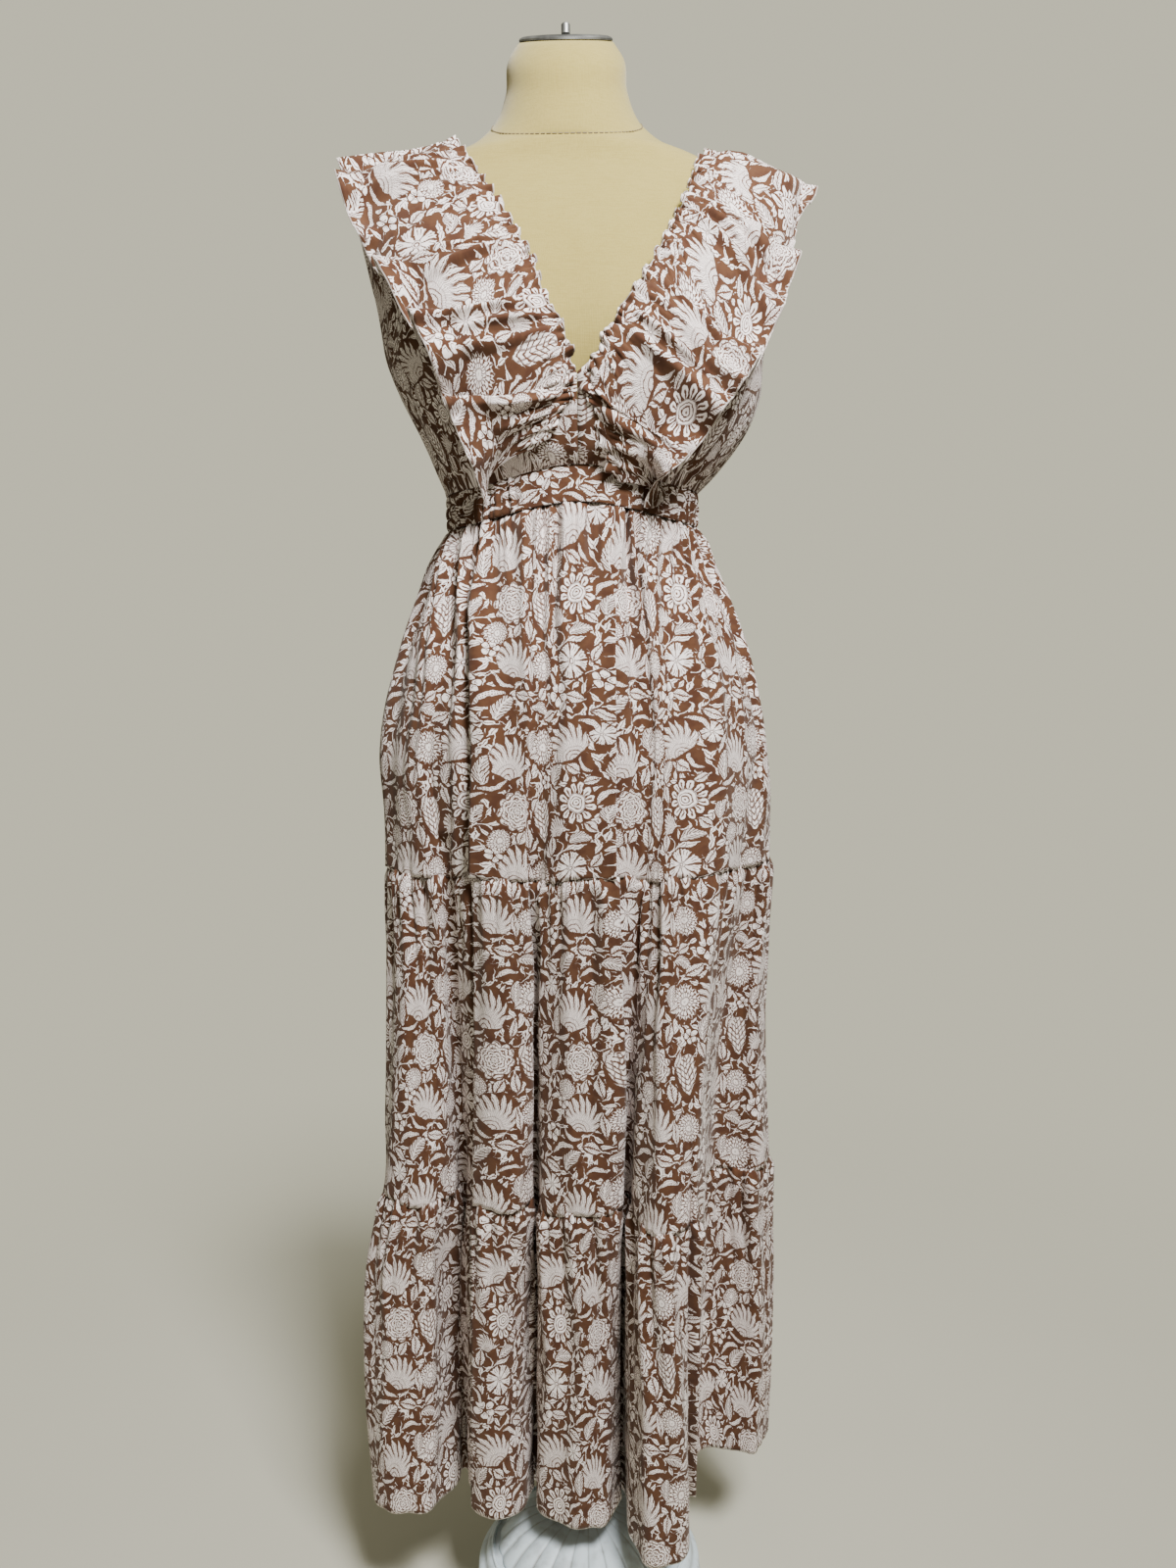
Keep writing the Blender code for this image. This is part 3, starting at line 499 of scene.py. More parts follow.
def blend(tree: NodeTree, kind: str, factor: Wire, first: Wire | tuple, second: Wire | tuple) -> Wire:
    """Adds a Mix node.

    Args:
        tree: the node tree.
        kind: FLOAT, VECTOR or RGBA.
        factor: 0 for the first and 1 for the second.
        first: one input.
        second: the other.

    Returns:
        The mix.
    """
    node = tree.nodes.new("ShaderNodeMix")
    node.data_type = kind
    suffix = {"FLOAT": "Float", "VECTOR": "Vector", "RGBA": "Color"}[kind]
    slots = {slot.identifier: slot for slot in node.inputs}
    feed(tree, slots["Factor_Float"], factor)
    feed(tree, slots[f"A_{suffix}"], first)
    feed(tree, slots[f"B_{suffix}"], second)
    outputs = {slot.identifier: slot for slot in node.outputs}
    return Wire(tree, outputs[f"Result_{suffix}"])


def rgb(red: float, green: float, blue: float) -> Colour:
    """A linear colour from its 0 to 255 display values."""
    linear = [((c / 255 + 0.055) / 1.055) ** 2.4 if c > 10 else c / 255 / 12.92 for c in (red, green, blue)]
    return (*linear, 1.0)


@dataclass
class Recipe:
    """A material in the making: its tree, and the sockets of its Principled shader."""

    name: str
    material: Material = field(init=False)

    def __post_init__(self) -> None:
        """Starts the material."""
        self.material = bpy.data.materials.new(self.name)
        self.material.use_nodes = True

    @property
    def tree(self) -> NodeTree:
        """The material's node tree."""
        return self.material.node_tree

    @property
    def shader(self) -> Node:
        """The Principled shader."""
        return self.tree.nodes["Principled BSDF"]

    def put(self, **values: Wire | float | tuple) -> None:
        """Sets or links sockets of the shader; an underscore stands for a space in a socket's name."""
        for name, value in values.items():
            feed(self.tree, self.shader.inputs[name.replace("_", " ")], value)

    def place(self, output: str) -> Wire:
        """An output of Texture Coordinate."""
        return Wire(self.tree, self.tree.nodes.new("ShaderNodeTexCoord").outputs[output])

    def attribute(self, name: str) -> Wire:
        """Reads a number stored on the piece's points.

        Args:
            name: its name.

        Returns:
            The number.
        """
        node = self.tree.nodes.new("ShaderNodeAttribute")
        node.attribute_name = name
        return Wire(self.tree, node.outputs["Fac"])

    def noise(
        self, place: Wire, scale: float, detail: float = 2.0, flat: bool = False, output: int | str = 0
    ) -> Wire:
        """Adds a noise.

        Args:
            place: where to read it.
            scale: about how many lumps it has a metre.
            detail: how many finer noises are added to it.
            flat: whether it reads only two parts of the place.
            output: the output to read.

        Returns:
            The noise, between 0 and 1.
        """
        node = self.tree.nodes.new("ShaderNodeTexNoise")
        node.noise_dimensions = "2D" if flat else "3D"
        feed(self.tree, node.inputs["Vector"], place)
        node.inputs["Scale"].default_value = scale
        node.inputs["Detail"].default_value = detail
        return Wire(self.tree, node.outputs[output])

    def split(self, vector: Wire) -> tuple[Wire, Wire, Wire]:
        """Parts a vector.

        Args:
            vector: the vector.

        Returns:
            Its x, y and z.
        """
        node = self.tree.nodes.new("ShaderNodeSeparateXYZ")
        feed(self.tree, node.inputs[0], vector)
        return tuple(Wire(self.tree, slot) for slot in node.outputs)

    def bump(self, height: Wire, strength: float, distance: float) -> Wire:
        """Makes a normal from a height.

        Args:
            height: the height.
            strength: how much of it to use.
            distance: the height of 1, in metres.

        Returns:
            The normal.
        """
        node = self.tree.nodes.new("ShaderNodeBump")
        node.inputs["Strength"].default_value = strength
        node.inputs["Distance"].default_value = distance
        feed(self.tree, node.inputs["Height"], height)
        return Wire(self.tree, node.outputs[0])


class Motif(Enum):
    """The kinds of block-printed motif, in the order in which the nodes number them."""

    ROSETTE = 0
    SUN = 1
    DAISY = 2
    LILY = 3
    LEAF = 4
    PALMETTE = 5
    CLUSTER = 6
    FERN = 7
    STRAP = 8
    PEONY = 9


@dataclass(frozen=True)
class Sprig:
    """One motif of the repeat: its kind, centre, half sizes in millimetres, and turn in degrees."""

    kind: Motif
    x: float
    y: float
    half_width: float
    half_height: float
    turn: float = 0.0


# The repeat as charted: the centre, the half sizes in millimetres and the turn in degrees
REPEAT_CHART = (
    (Motif.SUN, ((49, -68, 19, 21),)),
    (Motif.PALMETTE, ((7, -85, 15, 22, 8),)),
    (Motif.PEONY, ((108, -76, 22, 21, 10),)),
    (Motif.ROSETTE, ((91, -103, 12, 12), (7, -134, 15, 16, 20), (6, -18, 19, 19, 30))),
    (Motif.DAISY, ((44, -129, 17, 18, 6), (70, -6, 11, 11, 12))),
    (Motif.LILY, (
        (110, -127, 21, 22, -22), (29, -89, 8, 12, 14), (39, -12, 21, 22, 24), (102, -28, 20, 24, -14),
    )),
    (Motif.LEAF, (
        (47, -161, 11, 6.5, -12), (128, -100, 12, 7, 100), (112, -101, 8, 6, 60), (118, -160, 12, 6.5, -14),
        (24, -106, 10, 5.5, 84), (46, -37, 9, 6.5, -35), (126, -46, 11, 6, 76), (24, -63, 11, 5.5, 110),
        (6, -159, 8, 6, 40), (131, -137, 14, 5, 96), (17, -178, 12, 6, 24), (71, -178, 11, 5.5, -26),
        (66, -122, 9, 5, 64), (61, -48, 8, 5, 20), (136, -70, 9, 5, 66), (34, -170, 7, 4.5, 60),
        (134, -24, 8, 5, 20), (62, -90, 8, 5, -40), (28, -26, 7, 4.5, 100),
    )),
    (Motif.CLUSTER, ((29, -159, 12, 12, 15), (12, -50, 8, 8), (71, -147, 9, 11, 40), (86, -116, 8, 8, 30))),
    (Motif.FERN, (
        (53, -101, 12, 7, 12), (27, -42, 13, 8, 64), (79, -38, 16, 7, 86), (75, -78, 11, 6, 70),
        (94, -170, 15, 10, 48), (130, -12, 13, 7, 82), (4, -172, 12, 7, -20),
    )),
    (Motif.STRAP, (
        (84, -160, 15, 9, 20), (96, -148, 12, 7, 150), (60, -186, 13, 8, -30), (22, -146, 10, 6, -60),
        (72, -63, 11, 7, 40), (88, -52, 13, 7, 200), (56, -34, 10, 6, 130), (120, -182, 12, 7, 10),
    )),
)


@dataclass(frozen=True)
class BlockPrint:
    """A hand-block floral in off-white on tan brown, over a small charted repeat."""

    name: str = "block_print_voile"
    repeat: tuple[float, float] = (0.139, 0.189)
    ground: Colour = rgb(87, 56, 36)
    ground_deep: Colour = rgb(75, 45, 29)
    paper: Colour = rgb(250, 239, 235)
    line: Colour = rgb(92, 60, 44)
    thread: Colour = rgb(232, 224, 216)
    thread_width: float = 0.0010
    wobbles: tuple[tuple[float, float], ...] = ((0.0016, 520.0), (0.0050, 95.0))  # size, lumps a metre
    fillings: tuple[tuple[float, ...], ...] = (  # leaves a metre, half length, half width, shift
        (84.0, 0.0048, 0.0021, 0.0),
        (70.0, 0.0040, 0.0017, 0.37),
    )
    warp_pitch: float = 0.00052
    weft_pitch: float = 0.00048
    sprigs: tuple[Sprig, ...] = tuple(Sprig(motif, *row) for motif, rows in REPEAT_CHART for row in rows)
    unit: float = 0.00088  # metres to a charted millimetre of half size

    def made(self) -> Material:
        """Builds the material.

        Returns:
            The printed voile, which reads the map "cut" and the numbers "edge" of a piece.
        """
        recipe = Recipe(self.name)
        tree = recipe.tree
        uv = tree.nodes.new("ShaderNodeUVMap")
        uv.uv_map = "cut"
        cut = Wire(tree, uv.outputs["UV"])
        place = cut
        for amount, scale in self.wobbles:
            shake = recipe.noise(cut, scale, 1.0, output="Color").vector("SUBTRACT", (0.5, 0.5, 0.5))
            place = place.vector("ADD", shake.vector("MULTIPLY", (amount, amount, 0.0)))
        local, reach, kind = self.nearest(recipe, place)
        mask, line = self.drawn(recipe, local, kind)
        mask = mask * reach.below(1.06, 0.03)
        filler, rib = self.filling(recipe, place)
        filler = filler * reach.below(1.10, 0.02).inverse()
        line = mask.mixed(rib, line)
        mask = mask.math("MAXIMUM", filler)
        fade = recipe.noise(cut, 90.0, 3.0, flat=True)
        ground = blend(tree, "RGBA", fade.below(0.52, 0.16), self.ground_deep, self.ground)
        paper = blend(tree, "RGBA", line * mask, self.paper, self.line)
        colour = blend(tree, "RGBA", mask, ground, paper)
        edge = recipe.attribute("edge")
        overlock = edge.below(self.thread_width, 0.0004)
        colour = blend(tree, "RGBA", overlock * 0.5, colour, self.thread)
        x, y, _ = recipe.split(cut)
        warp = (x * (2 * math.pi / self.warp_pitch)).math("SINE")
        weft = (y * (2 * math.pi / self.weft_pitch)).math("SINE")
        slub = recipe.noise(cut.vector("MULTIPLY", (900.0, 60.0, 0.0)), 1.0, 2.0, flat=True)
        height = warp * weft * 0.35 + slub + overlock
        recipe.put(
            Base_Color=colour,
            Roughness=0.88,
            Specular_IOR_Level=0.22,
            Sheen_Weight=0.12,
            Sheen_Roughness=0.5,
            Sheen_Tint=(0.95, 0.90, 0.86, 1.0),
            Normal=recipe.bump(height, 0.35, 0.00018),
        )
        return recipe.material

    def nearest(self, recipe: Recipe, place: Wire) -> tuple[Wire, Wire, Wire]:
        """Finds the motif that each point belongs to.

        Args:
            recipe: the material.
            place: where the point is on the cloth.

        Returns:
            The point in the motif's own unit circle, its distance there, and the motif's number.
        """
        tree = recipe.tree
        wide, high = self.repeat
        best, reach, kind = None, None, None
        for sprig in self.sprigs:
            x, y = sprig.x / 1000, sprig.y / 1000
            corners = (x + wide / 2, y + high / 2, 1.0), (x - wide / 2, y - high / 2, -1.0)
            nearby = place.vector("WRAP", *corners)
            mapping = tree.nodes.new("ShaderNodeMapping")
            mapping.vector_type = "TEXTURE"
            feed(tree, mapping.inputs["Vector"], nearby)
            mapping.inputs["Location"].default_value = (x, y, 0.0)
            mapping.inputs["Rotation"].default_value = (0.0, 0.0, math.radians(sprig.turn))
            half_sizes = sprig.half_width * self.unit, sprig.half_height * self.unit
            mapping.inputs["Scale"].default_value = (*half_sizes, 1.0)
            local = Wire(tree, mapping.outputs[0])
            distance = local.vector("LENGTH", output="Value")
            number = float(sprig.kind.value)
            if reach is None:
                best, reach, kind = local, distance, number
                continue
            closer = distance.math("LESS_THAN", reach)
            best = blend(tree, "VECTOR", closer, best, local)
            kind = closer.mixed(kind, number)
            reach = distance.math("MINIMUM", reach)
        return best, reach, kind

    def drawn(self, recipe: Recipe, local: Wire, kind: Wire) -> tuple[Wire, Wire]:
        """Draws every kind of motif in the unit circle and picks the one that is wanted.

        Args:
            recipe: the material.
            local: the point in the motif's unit circle.
            kind: the motif's number.

        Returns:
            How far the point is in the motif's print, and on one of its fine brown lines.
        """
        x, y, _ = recipe.split(local)
        r = local.vector("LENGTH", output="Value")
        turn = y.math("ARCTAN2", x)
        pictures = {
            Motif.ROSETTE: self.rosette(r, turn),
            Motif.SUN: self.sun(r, turn),
            Motif.DAISY: self.daisy(r, turn),
            Motif.LILY: self.lily(x, y),
            Motif.LEAF: self.leaf(x, y),
            Motif.PALMETTE: self.palmette(x, y),
            Motif.CLUSTER: self.cluster(r, turn),
            Motif.FERN: self.fern(x, y),
            Motif.STRAP: self.strap(x, y),
            Motif.PEONY: self.peony(r, turn),
        }
        mask, line = pictures.pop(Motif.ROSETTE)
        for motif, (its_mask, its_line) in pictures.items():
            wanted = kind.math("COMPARE", float(motif.value), 0.3)
            mask = wanted.mixed(mask, its_mask)
            line = wanted.mixed(line, its_line)
        return mask, line

    @staticmethod
    def petal(turn: Wire, count: int, phase: float = 0.0) -> Wire:
        """0 on the middle line of each petal and 1 half-way between two petals."""
        part = (turn * (count / (2 * math.pi)) + phase).math("FRACT")
        return ((part - 0.5) * 2.0).absolute()

    @classmethod
    def rosette(cls, r: Wire, turn: Wire) -> tuple[Wire, Wire]:
        """A dahlia: rings of narrow pointed petals, each ring set between the petals of the last.

        Args:
            r: how far from the middle.
            turn: the angle round it.

        Returns:
            How far the point is in the print, and on a brown line.
        """
        ring = (r * 4.2).math("FLOOR") * 0.5
        part = ((turn * (17 / (2 * math.pi)) + ring).math("FRACT") * 2.0 - 1.0).absolute()
        outer = cls.petal(turn, 17, 0.0)
        mask = r.below(outer * -0.17 + 1.0, 0.03)
        between = part.below(0.68, 0.08).inverse() * r.below(0.20, 0.05).inverse()
        tips = ((r * 4.2).math("FRACT") + part * 0.55).below(0.40, 0.07)
        return mask, between.math("MAXIMUM", tips)

    @classmethod
    def peony(cls, r: Wire, turn: Wire) -> tuple[Wire, Wire]:
        """A cabbage of broad scalloped petals with double rims and dotted strokes.

        Args:
            r: how far from the middle.
            turn: the angle round it.

        Returns:
            How far the point is in the print, and on a brown line.
        """
        ring = (r * 3.1).math("FLOOR") * 0.37
        part = ((turn * (7 / (2 * math.pi)) + ring).math("FRACT") * 2.0 - 1.0).absolute()
        scallop = (r * 3.1).math("FRACT") + part * part * 0.35
        outer = cls.petal(turn, 11, 0.2)
        mask = r.below(outer * outer * -0.20 + 1.0, 0.03)
        rims = (scallop * 2.0).math("FRACT").below(0.38, 0.07)
        strokes = cls.petal(turn, 34).below(0.34, 0.1) * (r * 7.0).math("FRACT").below(0.5, 0.1)
        return mask, rims.math("MAXIMUM", strokes * 0.8)

    @classmethod
    def sun(cls, r: Wire, turn: Wire) -> tuple[Wire, Wire]:
        """A round centre with rings, and a circle of separate petals.

        Args:
            r: how far from the middle.
            turn: the angle round it.

        Returns:
            How far the point is in the print, and on a brown line.
        """
        centre = r.below(0.50, 0.03)
        petal = cls.petal(turn, 12)
        wide = (r - 0.76) * (1 / 0.25)
        blade = (petal * petal * 1.9 + wide * wide).below(1.0, 0.12)
        rings = (r * 6.4).math("FRACT").below(0.36, 0.07) * centre
        vein = petal.below(0.20, 0.06) * blade * r.below(0.86, 0.03)
        return centre.math("MAXIMUM", blade), rings.math("MAXIMUM", vein)

    @classmethod
    def daisy(cls, r: Wire, turn: Wire) -> tuple[Wire, Wire]:
        """A small disc with wedge petals that widen to their notched ends.

        Args:
            r: how far from the middle.
            turn: the angle round it.

        Returns:
            How far the point is in the print, and on a brown line.
        """
        petal = cls.petal(turn, 8)
        end = cls.petal(turn, 32) * -0.07 + 0.99
        wedge = petal.below(0.76, 0.06) * r.below(end, 0.03)
        disc = r.below(0.19, 0.02)
        mask = (wedge * r.below(0.22, 0.02).inverse()).math("MAXIMUM", disc)
        ring = (r - 0.11).absolute().below(0.03, 0.015)
        strokes = cls.petal(turn, 32).below(0.3, 0.1) * (r - 0.74).absolute().below(0.15, 0.04)
        return mask, ring.math("MAXIMUM", strokes)

    @staticmethod
    def lily(x: Wire, y: Wire) -> tuple[Wire, Wire]:
        """A fan of long pointed petals that rise from a stalk and curl at their tips.

        Args:
            x: the place along the motif.
            y: the place across it.

        Returns:
            How far the point is in the print, and on a brown line.
        """
        up = y + 0.90
        reach = (x * x + up * up).math("SQRT")
        lean = x.math("ARCTAN2", up) + reach * reach * 0.10
        petal = ((lean * 3.6 + 0.5).math("FRACT") * 2.0 - 1.0).absolute()
        length = (lean * lean * -0.30 + 1.86) - petal * 0.46
        mask = reach.below(length, 0.04) * lean.absolute().below(1.30, 0.05)
        split = petal.below(0.80, 0.05).inverse() * reach.below(0.95, 0.15).inverse()
        veins = (petal * 2.6 + 0.35).math("FRACT").below(0.40, 0.07) * reach.below(1.70, 0.1)
        root = (reach * 5.0).math("FRACT").below(0.25, 0.1) * reach.below(0.62, 0.05)
        return mask * split.inverse(), veins.math("MAXIMUM", root)

    @staticmethod
    def leaf(x: Wire, y: Wire) -> tuple[Wire, Wire]:
        """A pointed leaf with a toothed edge, a midrib and slanting veins.

        Args:
            x: the place along the motif.
            y: the place across it.

        Returns:
            How far the point is in the print, and on a brown line.
        """
        side = y.absolute()
        tooth = ((x + side * 0.5) * 4.0).math("FRACT") * 0.20
        half = (x * x * -1.0 + 1.0).math("MAXIMUM", 0.0) * 0.92 - tooth
        mask = side.below(half, 0.05)
        rib = side.below(0.12, 0.03) * x.below(0.8, 0.05)
        veins = ((x - side * 0.7) * 4.0).math("FRACT").below(0.33, 0.07) * side.below(half * 0.75, 0.05)
        return mask.math("MAXIMUM", side.below(0.10, 0.04)), rib.math("MAXIMUM", veins)

    @staticmethod
    def palmette(x: Wire, y: Wire) -> tuple[Wire, Wire]:
        """A tall cup of overlapping scales, with flaring side leaves.

        Args:
            x: the place along the motif.
            y: the place across it.

        Returns:
            How far the point is in the print, and on a brown line.
        """
        side = x.absolute()
        scale = (y * 3.4 - side * 2.4).math("FRACT")
        half = (y * 0.28 + 0.62) - (y * y * 0.40) + scale * 0.20
        mask = side.below(half, 0.04) * y.absolute().below(0.98, 0.03)
        rows = scale.below(0.32, 0.06)
        keel = ((side * 3.0 + y * 0.3).math("FRACT") - 0.5).absolute().below(0.16, 0.05)
        return mask, rows.math("MAXIMUM", keel * 0.8)

    @classmethod
    def cluster(cls, r: Wire, turn: Wire) -> tuple[Wire, Wire]:
        """Five loose round petals.

        Args:
            r: how far from the middle.
            turn: the angle round it.

        Returns:
            How far the point is in the print, and on a brown line.
        """
        petal = cls.petal(turn, 5)
        wide = (r - 0.60) * (1 / 0.38)
        mask = (petal * petal * 1.5 + wide * wide).below(1.0, 0.12)
        loop = (petal * petal * 5.0 + wide * wide * 3.2 - 1.0).absolute().below(0.4, 0.15)
        return mask, loop * r.below(0.62, 0.05)

    @staticmethod
    def fern(x: Wire, y: Wire) -> tuple[Wire, Wire]:
        """A bent twig with pairs of small leaflets.

        Args:
            x: the place along the motif.
            y: the place across it.

        Returns:
            How far the point is in the print, and on a brown line.
        """
        bent = y + x * x * 0.45 - 0.2
        side = bent.absolute()
        leaflet = (((x - side * 0.8) * 3.4).math("FRACT") * 2.0 - 1.0).absolute()
        half = (x * x * -0.75 + 0.86).math("MAXIMUM", 0.0)
        blades = leaflet.below(0.56, 0.08) * side.below(half, 0.05)
        stalk = side.below(0.09, 0.03)
        return blades.math("MAXIMUM", stalk) * x.absolute().below(0.95, 0.03), leaflet.below(0.12, 0.05)

    @staticmethod
    def strap(x: Wire, y: Wire) -> tuple[Wire, Wire]:
        """A long leaf that arches over, with a dotted line along it.

        Args:
            x: the place along the motif.
            y: the place across it.

        Returns:
            How far the point is in the print, and on a brown line.
        """
        bent = y + x * x * 0.62 - 0.30
        side = bent.absolute()
        half = ((x * -0.5 + 0.6) * (x + 1.0)).math("MAXIMUM", 0.0) * 0.42 + 0.04
        mask = side.below(half, 0.04) * x.absolute().below(0.97, 0.03)
        dots = (x * 7.0).math("FRACT").below(0.55, 0.1) * (side - half * 0.45).absolute().below(0.06, 0.03)
        return mask, dots

    def filling(self, recipe: Recipe, place: Wire) -> tuple[Wire, Wire]:
        """Small leaves and winding tendrils for the gaps between the charted motifs.

        Args:
            recipe: the material.
            place: where the point is on the cloth.

        Returns:
            How far the point is in this print, and on a leaf's brown rib.
        """
        tree = recipe.tree
        wide, high = self.repeat
        home = place.vector("WRAP", (wide, high, 1.0), (0.0, 0.0, -1.0))
        found, ribs = None, None
        for scale, length, width, shift in self.fillings:
            node = tree.nodes.new("ShaderNodeTexVoronoi")
            node.voronoi_dimensions = "2D"
            node.inputs["Scale"].default_value = scale
            node.inputs["Randomness"].default_value = 0.8
            shifted = home.vector("ADD", (shift, shift, 0.0))
            feed(tree, node.inputs["Vector"], shifted)
            away = shifted.vector("SUBTRACT", Wire(tree, node.outputs["Position"]))
            spin = tree.nodes.new("ShaderNodeVectorRotate")
            spin.rotation_type = "Z_AXIS"
            feed(tree, spin.inputs["Vector"], away)
            red, _, _ = recipe.split(Wire(tree, node.outputs["Color"]))
            feed(tree, spin.inputs["Angle"], red * 6.28)
            x, y, _ = recipe.split(Wire(tree, spin.outputs[0]))
            x, y = x * (1 / length), (y * (1 / width)).absolute()
            blade = y.below((x * x * -1.0 + 1.0).math("MAXIMUM", 0.0), 0.10)
            stalk = y.below(0.14, 0.06) * x.absolute().below(1.55, 0.06)
            rib = y.below(0.16, 0.06) * x.absolute().below(0.7, 0.06)
            blade = blade.math("MAXIMUM", stalk)
            found = blade if found is None else found.math("MAXIMUM", blade)
            ribs = rib if ribs is None else ribs.math("MAXIMUM", rib)
        lumps = recipe.noise(home, 40.0, 0.0, flat=True)
        tendril = (lumps - 0.5).absolute().below(0.009, 0.004)
        return found.math("MAXIMUM", tendril), ribs


@dataclass(frozen=True)
class FormCover:
    """The cream linen-like cloth that covers the dress form."""

    name: str = "form_cover_jersey"
    colour: Colour = rgb(164, 148, 80)
    shade: Colour = rgb(151, 135, 67)
    row_pitch: float = 0.0011
    ends_round: float = 360.0

    def made(self) -> Material:
        """Builds the material, with fine woven rows and slubs on Object coordinates.

        Returns:
            The finish.
        """
        recipe = Recipe(self.name)
        place = recipe.place("Object")
        x, y, z = recipe.split(place)
        rows = (z * (2 * math.pi / self.row_pitch)).math("SINE")
        ribs = (y.math("ARCTAN2", x) * self.ends_round).math("SINE")
        mottle = recipe.noise(place, 38.0, 4.0)
        upright = recipe.noise(place.vector("MULTIPLY", (1400.0, 1400.0, 70.0)), 1.0, 2.0)
        level = recipe.noise(place.vector("MULTIPLY", (90.0, 90.0, 1500.0)), 1.0, 2.0)
        slubs = (upright * level).below(0.235, 0.06)
        colour = blend(recipe.tree, "RGBA", mottle * 0.5 + slubs.inverse() * 0.5, self.shade, self.colour)
        height = slubs * -0.5 + rows * 0.4 + ribs * 0.3 + recipe.noise(place, 900.0, 2.0)
        recipe.put(
            Base_Color=colour,
            Roughness=0.92,
            Specular_IOR_Level=0.2,
            Sheen_Weight=0.25,
            Sheen_Roughness=0.6,
            Normal=recipe.bump(height, 0.25, 0.0003),
        )
        return recipe.material


@dataclass(frozen=True)
class Thread:
    """Sewing thread, twisted along its length."""

    name: str = "seam_thread"
    colour: Colour = rgb(112, 98, 74)
    sheen: Colour = rgb(160, 146, 116)

    def made(self) -> Material:
        """Builds the material.

        Returns:
            The finish.
        """
        recipe = Recipe(self.name)
        place = recipe.place("Object")
        twist = recipe.noise(place, 1500.0, 1.0)
        colour = blend(recipe.tree, "RGBA", twist * 0.4, self.colour, self.sheen)
        recipe.put(Base_Color=colour, Roughness=0.8, Normal=recipe.bump(twist, 0.3, 0.0002))
        return recipe.material


@dataclass(frozen=True)
class BrushedSteel:
    """Dull grey metal with fine turned scratches, for the cap, the pin and the pole."""

    name: str = "brushed_steel_grey"
    colour: Colour = rgb(150, 150, 146)
    dark: Colour = rgb(104, 104, 102)

    def made(self) -> Material:
        """Builds the material.

        Returns:
            The finish.
        """
        recipe = Recipe(self.name)
        place = recipe.place("Object")
        streak = recipe.noise(place.vector("MULTIPLY", (40.0, 40.0, 900.0)), 1.0, 3.0)
        grime = recipe.noise(place, 60.0, 4.0)
        colour = blend(recipe.tree, "RGBA", grime.below(0.5, 0.2), self.colour, self.dark)
        recipe.put(
            Base_Color=colour,
            Metallic=0.85,
            Roughness=streak * 0.25 + 0.32,
            Normal=recipe.bump(streak, 0.15, 0.0002),
        )
        return recipe.material


@dataclass(frozen=True)
class PaintedIron:
    """White paint on cast iron, worn thin and dusty, and darker in its grooves."""

    name: str = "painted_white_iron"
    colour: Colour = rgb(220, 233, 239)
    # the darker colour that the random dust and the hollow grooves take
    grime: Colour = rgb(128, 126, 118)

    def made(self) -> Material:
        """Builds the material.

        Returns:
            The finish.
        """
        recipe = Recipe(self.name)
        place = recipe.place("Object")
        hollow = recipe.tree.nodes.new("ShaderNodeNewGeometry").outputs["Pointiness"]
        # the grooves, found by Pointiness where the surface is hollow, are made darker
        darker_in_grooves = Wire(recipe.tree, hollow).below(0.485, 0.02)
        dust = recipe.noise(place, 70.0, 5.0)
        dust_and_groove_darkening = (darker_in_grooves * 0.6 + dust.below(0.42, 0.12) * 0.35).math("MINIMUM", 1.0)
        colour = blend(recipe.tree, "RGBA", dust_and_groove_darkening, self.colour, self.grime)
        recipe.put(
            Base_Color=colour,
            Roughness=dust * 0.25 + 0.36,
            Specular_IOR_Level=0.5,
            Normal=recipe.bump(recipe.noise(place, 420.0, 3.0), 0.2, 0.0004),
        )
        return recipe.material


@dataclass(frozen=True)
class Wardrobe:
    """All the finishes of the object."""

    print_voile: Material
    cover: Material
    thread: Material
    steel: Material
    iron: Material

    @classmethod
    def made(cls) -> Wardrobe:
        """Builds every finish once."""
        kinds = (BlockPrint, FormCover, Thread, BrushedSteel, PaintedIron)
        return cls(*(kind().made() for kind in kinds))


# Pieces


def in_place(name: str, data: Mesh, finish: Material) -> Object:
    """Links a finished mesh to the scene.

    Args:
        name: the piece's name.
        data: its mesh, in the object's own frame.
        finish: its material.

    Returns:
        The object, at the origin.
    """
    data.shade_smooth()
    data.materials.append(finish)
    obj = bpy.data.objects.new(name, data)
    bpy.context.scene.collection.objects.link(obj)
    return obj


def from_bmesh(name: str, mesh: bmesh.types.BMesh, finish: Material, sharp: float = 35.0) -> Object:
    """Makes the object of a bmesh, with its faces outwards.

    Args:
        name: the piece's name.
        mesh: the bmesh, which is freed.
        finish: its material.
        sharp: the angle in degrees above which an edge is sharp.

    Returns:
        The object.
    """
    bmesh.ops.recalc_face_normals(mesh, faces=mesh.faces[:])
    data = bpy.data.meshes.new(name)
    mesh.to_mesh(data)
    mesh.free()
    obj = in_place(name, data, finish)
    data.set_sharp_from_angle(angle=math.radians(sharp))
    return obj


def placed_on(data: Mesh, points: Array) -> tuple[Array, Array]:
    """Moves the vertices of a flat unit grid onto a grid of points.

    Args:
        data: the mesh of a grid from -0.5 to 0.5.
        points: the places, by row and column.

    Returns:
        The row and the column of each vertex.
    """
    rows, across = points.shape[:2]
    flat = np.empty(len(data.vertices) * 3)
    data.vertices.foreach_get("co", flat)
    flat = flat.reshape(-1, 3)
    column = np.rint((flat[:, 0] + 0.5) * (across - 1)).astype(int)
    row = np.rint((flat[:, 1] + 0.5) * (rows - 1)).astype(int)
    data.vertices.foreach_set("co", points[row, column].ravel())
    data.update()
    return row, column


